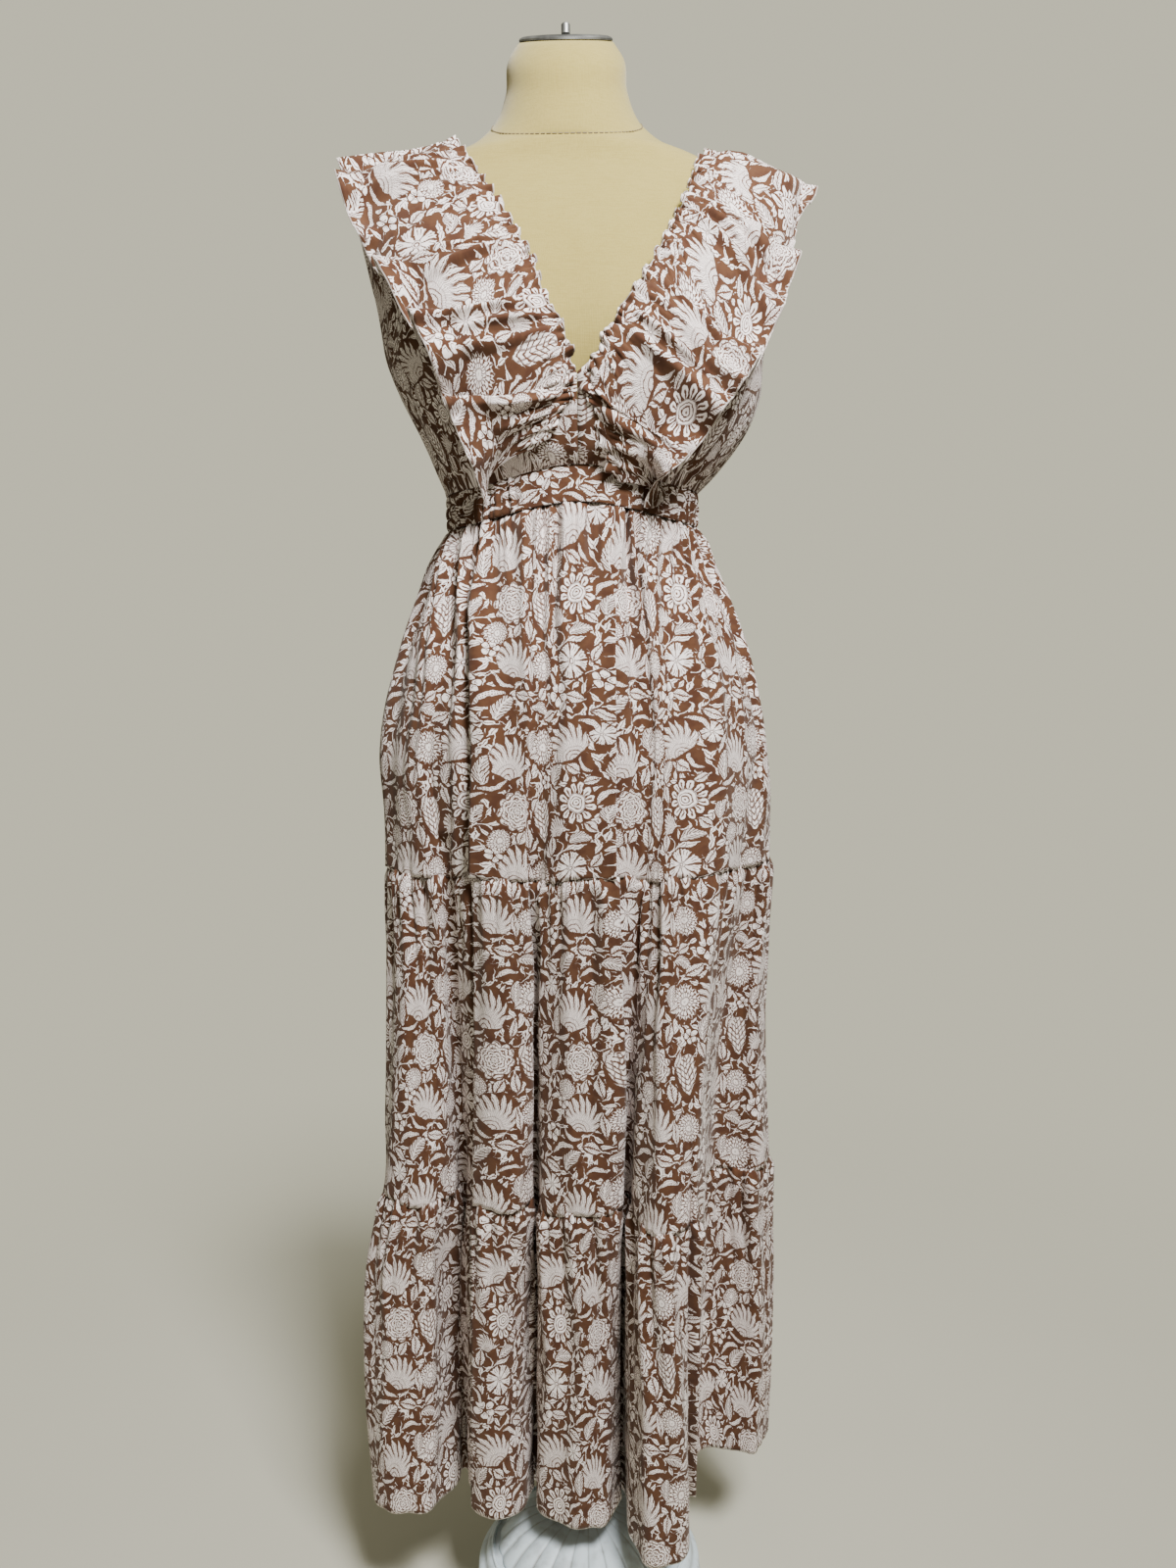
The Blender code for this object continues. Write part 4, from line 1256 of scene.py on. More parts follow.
def flat_grid(name: str, rows: int, across: int) -> Mesh:
    """Makes a flat grid from -0.5 to 0.5.

    Args:
        name: the mesh's name.
        rows: how many rows of points it has.
        across: how many points a row has.

    Returns:
        The mesh.
    """
    mesh = bmesh.new()
    bmesh.ops.create_grid(mesh, x_segments=across - 1, y_segments=rows - 1, size=0.5)
    data = bpy.data.meshes.new(name)
    mesh.to_mesh(data)
    mesh.free()
    return data


def rolled(name: str, points: Array, finish: Material, sharp: float) -> Object:
    """Builds a closed body from a grid whose first and last columns meet.

    Args:
        name: the piece's name.
        points: the grid.
        finish: its material.
        sharp: the angle in degrees above which an edge is sharp.

    Returns:
        The object, closed at both ends.
    """
    data = flat_grid(name, *points.shape[:2])
    placed_on(data, points)
    mesh = bmesh.new()
    mesh.from_mesh(data)
    bmesh.ops.remove_doubles(mesh, verts=mesh.verts[:], dist=MERGE)
    bmesh.ops.holes_fill(mesh, edges=[edge for edge in mesh.edges if edge.is_boundary], sides=0)
    return from_bmesh(name, mesh, finish, sharp)


def turned(
    name: str, outline: Outline, steps: int, finish: Material, sharp: float, place: Matrix = Matrix()
) -> Object:
    """Builds a body turned on the Z axis.

    Args:
        name: the piece's name.
        outline: its (radius, height) points, both ends on the axis.
        steps: how many steps make the full turn.
        finish: its material.
        sharp: the angle in degrees above which an edge is sharp.
        place: moves the body once it is turned.

    Returns:
        The object.
    """
    mesh = bmesh.new()
    verts = [mesh.verts.new((radius, 0.0, z)) for radius, z in outline]
    edges = [mesh.edges.new(pair) for pair in zip(verts, verts[1:])]
    circle = {"cent": (0, 0, 0), "axis": (0, 0, 1), "angle": 2 * math.pi}
    bmesh.ops.spin(mesh, geom=[*verts, *edges], steps=steps, use_merge=True, **circle)
    bmesh.ops.remove_doubles(mesh, verts=mesh.verts[:], dist=MERGE)
    bmesh.ops.transform(mesh, verts=mesh.verts[:], matrix=place)
    return from_bmesh(name, mesh, finish, sharp)


def rod(radius: float, low: float, high: float, edge: float = 0.001) -> Outline:
    """Makes the outline of a round bar with broken edges.

    Args:
        radius: its radius.
        low: the height of its lower end.
        high: the height of its upper end.
        edge: how much its edges are broken.

    Returns:
        The outline, from the axis to the axis.
    """
    inner = radius - edge
    lower = ((0.0, low), (inner, low), (radius, low + edge))
    return lower + ((radius, high - edge), (inner, high), (0.0, high))


def dressed(piece: Object, node: str | None = None) -> None:
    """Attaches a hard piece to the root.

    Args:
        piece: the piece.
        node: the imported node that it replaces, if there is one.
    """
    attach(piece, ROOT)
    if node:
        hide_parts(node)


@dataclass
class Cloth:
    """A cut piece of cloth as a grid of points, its rows running from its lower edge upwards."""

    points: Array
    cut: Array
    edge: Array
    wall: float = 0.0009

    def made(self, name: str, finish: Material) -> Object:
        """Builds the piece.

        Args:
            name: the piece's name.
            finish: its material.

        Returns:
            The object, with the cut map, the distance to a raw edge, and a thin wall.
        """
        data = flat_grid(name, *self.points.shape[:2])
        row, column = placed_on(data, self.points)
        corner = np.empty(len(data.loops), dtype=np.int32)
        data.loops.foreach_get("vertex_index", corner)
        layer = data.uv_layers.new(name="cut")
        layer.uv.foreach_set("vector", self.cut[row, column][corner].ravel())
        edge = data.attributes.new("edge", "FLOAT", "POINT")
        edge.data.foreach_set("value", self.edge[row, column].astype(np.float32))
        obj = in_place(name, data, finish)
        solid = obj.modifiers.new("wall", "SOLIDIFY")
        solid.thickness = self.wall
        solid.offset = -1.0
        return obj

    def turned_over(self) -> Cloth:
        """The same cloth with its columns in the other order, so that it faces the other way."""
        return Cloth(self.points[:, ::-1], self.cut[:, ::-1], self.edge[:, ::-1], self.wall)


@dataclass(frozen=True)
class Cut:
    """The flat size that a piece is cut to: its width, its length and its area."""

    width: float
    length: float
    share: float = 1.0

    @property
    def area(self) -> float:
        """The flat area in square metres."""
        return self.width * self.length * self.share


def declare(piece: Object, node: str, cut: Cut) -> None:
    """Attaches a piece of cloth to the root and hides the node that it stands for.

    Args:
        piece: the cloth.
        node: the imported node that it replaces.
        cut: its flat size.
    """
    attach(piece, ROOT)
    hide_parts(node)
    area = None if cut.share >= 1.0 else cut.area
    LOG.info("%s: %d points", piece.name, len(piece.data.vertices))


@dataclass(frozen=True)
class Crease:
    """A fold down the skirt that laps over itself, by its place near the waist and at the hem."""

    x_high: float
    x_low: float
    from_z: float
    grown_z: float
    depth: float
    over: float
    proud_left: bool
    reach: float = 0.030
    tuck: float = 0.0100
    height: float = 0.875  # from the hem to where x_high is

    def x_at(self, z: Array) -> Array:
        """Where the fold is at a height."""
        return self.x_low + (self.x_high - self.x_low) * np.clip((z - HEM_Z) / self.height, 0.0, 1.0)

    def shape(self, away: Array, z: Array) -> tuple[Array, Array]:
        """How the cloth moves near the fold's line.

        Args:
            away: how far each point is to the right of the line, along the cloth.
            z: the heights.

        Returns:
            How far each point stands out, and how far it moves to the right.
        """
        strength = 1.0 - eased(self.grown_z, self.from_z, z)
        side = 1.0 if self.proud_left else -1.0
        q = away * side + self.over * 0.8
        half = self.tuck / 2
        rise = np.exp(np.minimum(q + half, 0.0) / self.reach)
        fall = -1.7 * np.exp(-np.maximum(q - half, 0.0) / (self.reach * 0.45))
        turn = np.clip((q + half) / self.tuck, 0.0, 1.0)
        out = self.depth * (rise * (1 - turn) + fall * turn)
        near = np.exp(np.minimum(q + half, 0.0) / (self.tuck * 1.5))
        far = -np.exp(-np.maximum(q - half, 0.0) / (self.tuck * 1.5))
        slide = self.over * (near * (1 - turn) + far * turn)
        return strength * out, strength * slide * side


@dataclass(frozen=True)
class Folds:
    """A family of folds: its wave, the distance between crests, their depth and how far they reach."""

    wave: Callable
    pitch: float
    depth: float
    fade: float

    def relief(self, place: Array, seed: float, away: Array) -> Array:
        """How far the cloth stands out, for places across the cut and distances from the seam."""
        return self.wave(place, self.pitch, seed) * self.depth * np.exp(-away / self.fade)


GATHERS = Folds(gathered, 0.0100, 0.0026, 0.026)
TOP_FOLDS = (GATHERS, Folds(gathered, 0.024, 0.0068, 0.105), Folds(uneven, 0.062, 0.0066, 0.30))
LOWER_FOLDS = (GATHERS, Folds(gathered, 0.024, 0.0042, 0.105), Folds(uneven, 0.062, 0.0046, 0.30))
PUCKERS = Folds(gathered, 0.0125, 0.0012, 0.012)


@dataclass(frozen=True)
class Tier:
    """One tier: its name, the heights of its edges, the cut of its two panels and its folds."""

    name: str
    top_z: float
    bottom_z: float
    front: Cut
    back: Cut
    seed: float
    folds: tuple[Folds, ...]

    def cut(self, facing: Facing) -> Cut:
        """The cut of the front or the back panel."""
        return self.back if facing.is_back else self.front

    def share(self, levels: Array) -> Array:
        """How far up the tier some heights are, from 0 to 1."""
        return (levels - self.bottom_z) / (self.top_z - self.bottom_z)


@dataclass
class Skirt:
    """The three gathered tiers, each a front and a back panel."""

    outline: Chart = Chart(
        ("z", "left", "right", "front", "back", "fold_share"),
        (
            (1.0800, 0.1140, 0.1110, 0.0865, 0.0840, 0.00),
            (1.0640, 0.1160, 0.1130, 0.0880, 0.0850, 0.00),
            (1.0340, 0.1320, 0.1240, 0.0940, 0.0910, 0.01),
            (1.0060, 0.1435, 0.1385, 0.1010, 0.0980, 0.02),
            (0.9600, 0.1615, 0.1575, 0.1120, 0.1110, 0.03),
            (0.9140, 0.1760, 0.1700, 0.1170, 0.1220, 0.05),
            (0.8600, 0.1850, 0.1800, 0.1190, 0.1260, 0.09),
            (0.8000, 0.1825, 0.1855, 0.1180, 0.1260, 0.16),
            (0.7520, 0.1815, 0.1860, 0.1160, 0.1240, 0.25),
            (0.6400, 0.1850, 0.1835, 0.1110, 0.1200, 0.48),
            (0.5300, 0.1890, 0.1840, 0.1060, 0.1180, 0.66),
            (0.4350, 0.1945, 0.1890, 0.1030, 0.1170, 0.79),
            (0.3700, 0.2090, 0.1905, 0.1020, 0.1180, 0.88),
            (0.3000, 0.2150, 0.1930, 0.1010, 0.1200, 0.95),
            (0.1250, 0.2130, 0.1880, 0.1000, 0.1200, 1.00),
        ),
    )
    hem: Chart = Chart(
        ("angle", "x", "y"),
        (
            (0.0, 0.1880, 0.062),
            (10.0, 0.1900, 0.088),
            (22.0, 0.1700, 0.109),
            (34.0, 0.1430, 0.100),
            (45.0, 0.1200, 0.080),
            (57.0, 0.0940, 0.110),
            (70.0, 0.0600, 0.130),
            (82.0, 0.0280, 0.110),
            (92.0, 0.0000, 0.090),
            (104.0, -0.0350, 0.122),
            (117.0, -0.0700, 0.132),
            (129.0, -0.1030, 0.110),
            (139.0, -0.1270, 0.086),
            (150.0, -0.1580, 0.104),
            (162.0, -0.1900, 0.090),
            (171.0, -0.2080, 0.048),
            (180.0, -0.2125, 0.002),
            (192.0, -0.2080, -0.030),
            (203.0, -0.1860, -0.045),
            (213.0, -0.1560, -0.043),
            (222.0, -0.1360, -0.014),
            (228.0, -0.1260, 0.018),
            (234.0, -0.1160, -0.012),
            (241.0, -0.1020, -0.044),
            (248.0, -0.0820, -0.054),
            (255.0, -0.0650, -0.036),
            (259.0, -0.0570, -0.008),
            (264.0, -0.0480, -0.042),
            (270.0, -0.0280, -0.062),
            (279.0, 0.0020, -0.069),
            (287.0, 0.0175, -0.058),
            (292.0, 0.0290, -0.026),
            (297.0, 0.0405, -0.080),
            (304.0, 0.0490, -0.112),
            (312.0, 0.0720, -0.120),
            (320.0, 0.0920, -0.100),
            (326.0, 0.0990, -0.052),
            (331.0, 0.1050, 0.006),
            (336.0, 0.1160, 0.040),
            (343.0, 0.1400, 0.044),
            (351.0, 0.1690, 0.036),
        ),
    )
    creases: tuple[Crease, ...] = (
        Crease(-0.0850, -0.1080, 1.050, 0.980, 0.0062, 0.0095, False),
        Crease(-0.0390, -0.0570, 0.860, 0.640, 0.0055, 0.0060, True),
        Crease(0.0370, 0.0290, 1.055, 0.980, 0.0074, 0.0105, True),
        Crease(0.0900, 0.1010, 0.600, 0.400, 0.0040, 0.0060, False),
    )
    tiers: tuple[Tier, ...] = (
        Tier("top", BAND_SIDE_Z, HIP_Z, Cut(0.66, 0.33), Cut(0.62, 0.32), 1.3, TOP_FOLDS),
        Tier("middle", HIP_Z, 0.435, Cut(0.80, 0.32), Cut(0.62, 0.32), 4.1, LOWER_FOLDS),
        Tier("lowest", 0.435, HEM_Z, Cut(1.06, 0.32), Cut(0.70, 0.32), 7.9, LOWER_FOLDS),
    )
    front_columns: int = 400
    back_columns: int = 200
    row_height: float = 0.0045
    clearance: float = 0.0052
    hip_share: float = 1.5  # how far the columns follow the hips rather than the hem
    creases_even_z: float = 0.45  # the height at which the creases don't shift the columns
    tucked: float = 0.0030  # how far a lower tier's edge goes up behind the seam
    tucked_size: float = 0.992
    tucked_band: tuple[float, float] = (0.0020, 0.0036)  # the same for two rows behind the waistband
    tucked_band_size: float = 0.972

    def hem_plan(self, angle: Array) -> Array:
        """Works out the place of the hem's edge seen from above.

        Args:
            angle: angles in degrees.

        Returns:
            The x and y of each point.
        """
        knots = self.hem.column("angle")
        return np.stack([smooth(knots, self.hem.column(n), angle, 360.0) for n in ("x", "y")], axis=1)

    def hip_plan(self, angle: Array, z: float) -> Array:
        """Works out the plain outline at one height, without its folds.

        Args:
            angle: angles in degrees.
            z: the height.

        Returns:
            The x and y of each point.
        """
        left, right, front, back = (self.outline.read(n, z) for n in SIDES)
        c, s = np.cos(np.radians(angle)), np.sin(np.radians(angle))
        return np.stack([c * np.where(c < 0, left, right), s * np.where(s < 0, front, back)], axis=1)

    def plan(self, angle: Array, z: float) -> Array:
        """Works out the outline at one height, with as much of the hem's folds as it has there.

        Args:
            angle: angles in degrees.
            z: the height.

        Returns:
            The x and y of each point.
        """
        folds = self.hem_plan(angle)
        for side in Side:
            growth = np.divide(*self.outline.read(side.value, (z, HEM_Z)))
            folds[:, 0] *= np.where(folds[:, 0] * side.sign > 0, growth, 1.0)
        hips = self.hip_plan(angle, z)
        return hips + (folds - hips) * self.outline.read("fold_share", z)

    def spread(self, facing: Facing) -> tuple[Array, Array]:
        """Spreads the cloth of a panel along its outline.

        Args:
            facing: front or back.

        Returns:
            Angles along the panel, and how far along its cloth each one is, from 0 to 1.
        """
        first, last = (0.0, 180.0) if facing.is_back else (180.0, 360.0)
        fine = np.linspace(first, last, 1441)
        run = np.linalg.norm(np.diff(self.hem_plan(fine), axis=0), axis=1)
        hips = np.linalg.norm(np.diff(self.hip_plan(fine, HIP_Z), axis=0), axis=1)
        length = np.concatenate([[0], np.cumsum(run + self.hip_share * hips)])
        return fine, length / length[-1]

    def panel(self, tier: Tier, facing: Facing) -> Cloth:
        """Works out one panel of one tier.

        Args:
            tier: the tier.
            facing: front or back.

        Returns:
            The panel as a grid, facing outwards.
        """
        cut = tier.cut(facing)
        across = self.back_columns if facing.is_back else self.front_columns
        fine, share = self.spread(facing)
        even = np.linspace(0.0, 1.0, across + 1)
        steps = round((tier.top_z - tier.bottom_z) / self.row_height)
        levels = np.linspace(tier.bottom_z, tier.top_z, steps + 1)
        creases = () if facing.is_back else self.creases
        homes = [self.crease_place(crease, self.creases_even_z, fine, share) for crease in creases]
        rows = []
        for z in levels:
            now = [self.crease_place(crease, z, fine, share) for crease in creases]
            moved = np.interp(even, [0.0, *homes, 1.0], [0.0, *now, 1.0])
            angle = np.interp(moved, share, fine)
            rows.append(np.column_stack([self.plan(angle, z), np.full(across + 1, z)]))
        grid = np.array(rows)
        relief = self.relief(tier, facing, even * cut.width, levels)
        slide = np.zeros_like(relief)
        for home, crease in zip(homes, creases):
            rise, move = crease.shape((even - home)[None, :] * cut.width, levels[:, None])
            relief, slide = relief + rise, slide + move
        ends = eased(0.0, 0.02, even) * eased(0.0, 0.02, 1 - even)
        run = np.gradient(grid, axis=1)
        run /= np.linalg.norm(run, axis=2, keepdims=True)
        out = np.stack([run[..., 1], -run[..., 0], np.zeros_like(run[..., 0])], axis=2)
        grid = grid + (out * relief[..., None] + run * slide[..., None]) * ends[None, :, None]
        grid = TORSO.off(grid, self.clearance)
        grid[..., 2] = levels[:, None]
        self.close(grid, tier, facing, levels)
        length = np.linspace(0.0, cut.length, len(levels))
        seat = tier.seed * 0.037
        middle_row = grid[len(levels) // 2]
        lying = float(np.linalg.norm(np.diff(middle_row, axis=0), axis=1).sum())
        cut_map = np.stack(np.broadcast_arrays(even[None] * lying + seat, length[:, None] + seat), axis=2)
        raw = np.broadcast_to(length[:, None] if tier.name == "lowest" else 1.0, grid.shape[:2])
        return Cloth(grid, cut_map, np.array(raw))

    def crease_place(self, crease: Crease, z: float, fine: Array, share: Array) -> float:
        """Finds a crease on the cloth at a height.

        Args:
            crease: the crease.
            z: the height.
            fine: angles along the panel.
            share: how far along the cloth each angle is.

        Returns:
            How far along the cloth it is, from 0 to 1.
        """
        x = self.plan(fine, z)[:, 0]
        order = np.argsort(x)
        return float(np.interp(crease.x_at(z), x[order], share[order]))

    def relief(self, tier: Tier, facing: Facing, along: Array, levels: Array) -> Array:
        """Works out the gathers of a panel, and the small puckers along its seams.

        Args:
            tier: the tier.
            facing: front or back.
            along: places across the cut, in metres.
            levels: the heights of the rows.

        Returns:
            How far each point stands out.
        """
        seed = tier.seed + 2.0 * facing.is_back
        drop = (tier.top_z - levels)[:, None]
        rise = (levels - tier.bottom_z)[:, None]
        drift = 0.004 * np.sin(drop * 21 + seed) + 0.003 * np.sin(drop * 47 + along[None] * 30 + seed)
        place = along[None] + drift * eased(0.0, 0.15, drop)
        folds = sum(family.relief(place, seed + number, drop) for number, family in enumerate(tier.folds))
        start = 0.30 + 0.70 * eased(0.0, 0.014, drop)
        puckers = PUCKERS.relief(along[None], seed + 3, rise) * (tier.name != "lowest")
        slack = uneven(along[None] + 0.02 * np.sin(levels[:, None] * 11 + seed), 0.045, seed + 4) * 0.0012
        puff = 0.0016 * eased(0.0, 0.012, drop) * np.exp(-drop / 0.04)
        seated = 0.0008 * (1 - eased(0.0, 0.006, drop))
        return folds * start + puckers + slack * eased(0.0, 0.05, drop) + puff - seated

    @staticmethod
    def seam_sag(x: Array) -> Array:
        """How far a tier's seam strays from its level along the front."""
        return 0.0022 * np.sin(x * 61 + 0.7) + 0.0012 * np.sin(x * 137 + 2.1) - 0.0015

    @staticmethod
    def band_edge(x: Array, facing: Facing) -> Array:
        """Height of the waistband's lower edge, which rises to the centre front."""
        share = np.clip(1 - np.abs(x - CENTRE_X) / BAND_HALF_WIDTH, 0, 1)
        return BAND_SIDE_Z + BAND_RISE * eased(0.0, 1.0, share) * (not facing.is_back)

    def close(self, grid: Array, tier: Tier, facing: Facing, levels: Array) -> None:
        """Brings the edges of a panel to its seams, in place.

        Args:
            grid: the panel.
            tier: its tier.
            facing: front or back.
            levels: the heights of its rows.
        """
        is_front = not facing.is_back
        grid[:, [0, -1], 1] += -HALF_SEAM if is_front else HALF_SEAM
        middle = np.array([CENTRE_X, 0.0])
        up = tier.share(levels)
        if tier.name == "top":
            lift = self.band_edge(grid[-1, :, 0], facing) - SEAM - tier.top_z
            grid[..., 2] += eased(0.86, 1.0, up)[:, None] * lift[None]
            grid[-1, :, :2] = (grid[-1, :, :2] - middle) * self.tucked_band_size + middle
            grid[-2:, :, 2] += np.array(self.tucked_band)[:, None]
        sag = self.seam_sag(grid[0, :, 0]) * is_front
        if tier.name != "top":
            grid[..., 2] += eased(0.75, 1.0, up)[:, None] * self.seam_sag(grid[-1, :, 0])[None] * is_front
            grid[-1, :, :2] = middle + (grid[-1, :, :2] - middle) * self.tucked_size
            grid[-1, :, 2] += self.tucked
        if tier.name != "lowest":
            grid[..., 2] += (1 - eased(0.0, 0.25, up))[:, None] * sag[None]

    def build(self, wardrobe: Wardrobe) -> None:
        """Builds the six panels.

        Args:
            wardrobe: the finishes.
        """
        for tier in self.tiers:
            for facing in Facing:
                node = f"skirt_{tier.name}_tier_{facing.value}"
                piece = self.panel(tier, facing).made(f"voile_{node}", wardrobe.print_voile)
                declare(piece, node, tier.cut(facing))


@dataclass
class Waistband:
    """The band: smooth at the centre front, ruched over elastic at the sides and the back."""

    steps: int = 300
    rows: int = 22
    inset: float = 0.001  # from the bodice's outer face
    clearance: float = 0.0029
    smooth_front: tuple[float, float] = (0.040, 0.062)  # where the ruching starts beside the centre
    wall: float = 0.0014
    cut: Cut = Cut(0.33, 0.035)

    def panel(self, facing: Facing) -> Cloth:
        """Works out the front or back band.

        Args:
            facing: front or back.

        Returns:
            The band as a grid, facing outwards.
        """
        first, last = (0.0, np.pi) if facing.is_back else (np.pi, 2 * np.pi)
        turn = np.linspace(first, last, self.steps + 1)
        z = BAND_SIDE_Z + BAND_HEIGHT
        left, right, front, back = (BODICE.size(n, z) - self.inset for n in SIDES)
        c, s = np.cos(turn), np.sin(turn)
        plan = np.stack([c * np.where(c < 0, left, right), s * np.where(s < 0, front, back)], axis=1)
        along = np.concatenate([[0], np.cumsum(np.linalg.norm(np.diff(plan, axis=0), axis=1))])
        aside = np.abs(plan[:, 0] - CENTRE_X)
        ruched = np.ones(len(turn)) if facing.is_back else eased(*self.smooth_front, aside)
        share = np.linspace(0, 1, self.rows)[:, None]
        belly = np.sin(np.pi * share)
        lean = along[None] + 0.0012 * np.sin(share * 5 + along[None] * 90)
        wave = gathered(lean, 0.0062, 2.0 + facing.is_back) * 0.0022 + gathered(lean, 0.0145, 5.0) * 0.0024
        elastic = np.abs(np.sin(share * np.pi * 3.0)) ** 0.5 * 0.0014
        plain = 0.0006 * belly
        ruching = wave * (0.3 + 0.7 * belly**0.5) + elastic
        relief = ruched[None] * ruching + (1 - ruched[None]) * plain
        outward = plan / np.linalg.norm(plan, axis=1, keepdims=True)
        base = Skirt.band_edge(plan[:, 0], facing)
        rows = plan[None] + outward[None] * relief[..., None]
        levels = base[None] + BAND_HEIGHT * share
        grid = np.concatenate([rows, levels[..., None]], axis=2)
        grid = TORSO.off(grid, self.clearance)
        grid[..., 2] = levels
        grid[:, 0, 1] = grid[:, -1, 1] = HALF_SEAM if facing.is_back else -HALF_SEAM
        across = along[None] / along[-1] * self.cut.width + 0.03
        cut_map = np.stack(np.broadcast_arrays(across, share * self.cut.length), axis=2)
        return Cloth(grid, cut_map, np.ones(grid.shape[:2]), wall=self.wall)

    def build(self, wardrobe: Wardrobe) -> None:
        """Builds the front and the back of the band.

        Args:
            wardrobe: the finishes.
        """
        for facing in Facing:
            node = f"waistband_{facing.value}"
            piece = self.panel(facing).made(f"voile_{node}", wardrobe.print_voile)
            declare(piece, node, self.cut)


@dataclass
class Bodice:
    """Four panels that meet in a v at the front and a shallower one at the back."""

    front: Chart = Chart(
        ("row", "left_x", "right_x", "inner_z", "outer_turn", "outer_z"),
        (
            (0, 0.000, 0.000, 1.1125, 90.0, 1.0975),
            (1, 0.000, 0.000, 1.1360, 90.0, 1.1250),
            (2, 0.000, 0.000, 1.1580, 90.0, 1.1550),
            (3, 0.000, 0.000, 1.1780, 90.0, 1.1850),
            (4, 0.017, 0.034, 1.2040, 90.0, 1.2080),
            (5, 0.032, 0.054, 1.2340, 80.0, 1.2330),
            (6, 0.044, 0.076, 1.2690, 74.0, 1.2620),
            (7, 0.059, 0.095, 1.3030, 72.0, 1.2910),
            (8, 0.075, 0.111, 1.3350, 73.0, 1.3180),
            (9, 0.088, 0.123, 1.3660, 76.0, 1.3400),
            (10, 0.103, 0.131, 1.3890, 82.0, 1.3550),
            (11, 0.112, 0.135, 1.3980, 86.0, 1.3600),
        ),
    )
    back: Chart = Chart(
        ("row", "left_x", "right_x", "inner_z", "outer_turn", "outer_z"),
        (
            (0, 0.000, 0.000, 1.0975, 90.0, 1.0975),
            (1, 0.000, 0.000, 1.1360, 90.0, 1.1250),
            (2, 0.000, 0.000, 1.1780, 90.0, 1.1550),
            (3, 0.000, 0.000, 1.2200, 90.0, 1.1850),
            (4, 0.000, 0.000, 1.2620, 90.0, 1.2080),
            (5, 0.022, 0.024, 1.2860, 80.0, 1.2330),
            (6, 0.041, 0.045, 1.3080, 74.0, 1.2620),
            (7, 0.059, 0.065, 1.3290, 72.0, 1.2910),
            (8, 0.077, 0.085, 1.3500, 73.0, 1.3180),
            (9, 0.094, 0.104, 1.3720, 76.0, 1.3400),
            (10, 0.107, 0.120, 1.3900, 82.0, 1.3550),
            (11, 0.114, 0.129, 1.3985, 86.0, 1.3600),
        ),
    )
    shoulder_neck_z: tuple[float, float] = (1.4030, 1.3935)
    shoulder_tip_z: float = 1.3620
    across: int = 60
    steps: int = 96
    clearance: float = 0.0032
    cut: Cut = Cut(0.24, 0.33, 0.72)

    def panel(self, side: Side, facing: Facing) -> Cloth:
        """Works out one of the four panels.

        Args:
            side: left or right.
            facing: front or back.

        Returns:
            The panel as a grid, facing outwards.
        """
        chart = self.back if facing.is_back else self.front
        rows = chart.column("row")
        neck_z = self.shoulder_neck_z[0 if side is Side.LEFT else 1]
        share = np.linspace(0, 1, self.across + 1)
        grid = []
        for at in np.linspace(0, rows[-1], self.steps):
            reach_x, inner_z, outer_turn, outer_z = (
                float(np.interp(at, rows, chart.column(n)))
                for n in (f"{side.value}_x", "inner_z", "outer_turn", "outer_z")
            )
            inner_z -= (self.shoulder_neck_z[0] - neck_z) * float(eased(1.30, 1.40, np.array(inner_z)))
            z = inner_z + (outer_z - inner_z) * share**1.3
            n = BODICE.size("squareness", z)
            reach = min(reach_x / BODICE.size(side.value, z)[0], 1.0) ** (n[0] / 2)
            start = math.asin(reach)
            turn = start + (math.radians(outer_turn) - start) * share
            grid.append(self.row(side, facing, turn, z, n))
        z = np.linspace(neck_z, self.shoulder_tip_z, self.across + 1)
        last = self.row(side, facing, np.full(z.shape, np.pi / 2), z, 2.0)
        for step in (0.5, 1.0):
            grid.append(grid[self.steps - 1] * (1 - step) + last * step)
        grid = np.array(grid)
        facing_out = 1 if (side is Side.RIGHT) != facing.is_back else -1
        up = np.linspace(0, 1, len(grid))[:, None]
        inset = eased(0.0, 0.06, share) * eased(0.0, 0.06, 1 - share)
        wave = gathered(share, 0.075, 1.0 + side.sign) * 0.0022 * np.exp(-up / 0.12)
        drape = uneven(share + up * 0.3, 0.21, 3.0 + side.sign) * 0.0016 * eased(0.0, 0.2, up) * (1 - up)
        grid = grid + normals_of(grid) * ((wave + drape) * inset[None])[..., None] * facing_out
        grid = TORSO.off(grid, self.clearance)
        seam_y = HALF_SEAM if facing.is_back else -HALF_SEAM
        grid[-1, :, 1] = seam_y
        below = int(self.steps * 4 / rows[-1])
        grid[:below, -1, 1] = seam_y
        centre = 0.0 if facing.is_back else CENTRE_X
        closed = int(self.steps * (4 if facing.is_back else 3) / rows[-1])
        grid[:closed, 0, 0] = centre + side.sign * HALF_SEAM
        self.onto_band(grid, facing)
        tilt = math.radians(8.0) * side.sign
        flat_x = share[None] * self.cut.width * side.sign + 0.02
        flat_y = up * self.cut.length + 0.05
        tilted_x = flat_x * math.cos(tilt) - flat_y * math.sin(tilt)
        tilted_y = flat_y + flat_x * math.sin(tilt)
        cut_map = np.stack(np.broadcast_arrays(tilted_x, tilted_y), axis=2)
        edge = np.where(np.arange(len(grid))[:, None] > below, (1 - share)[None] * 0.2, 1.0)
        cloth = Cloth(grid, cut_map, edge)
        return cloth if facing_out > 0 else cloth.turned_over()

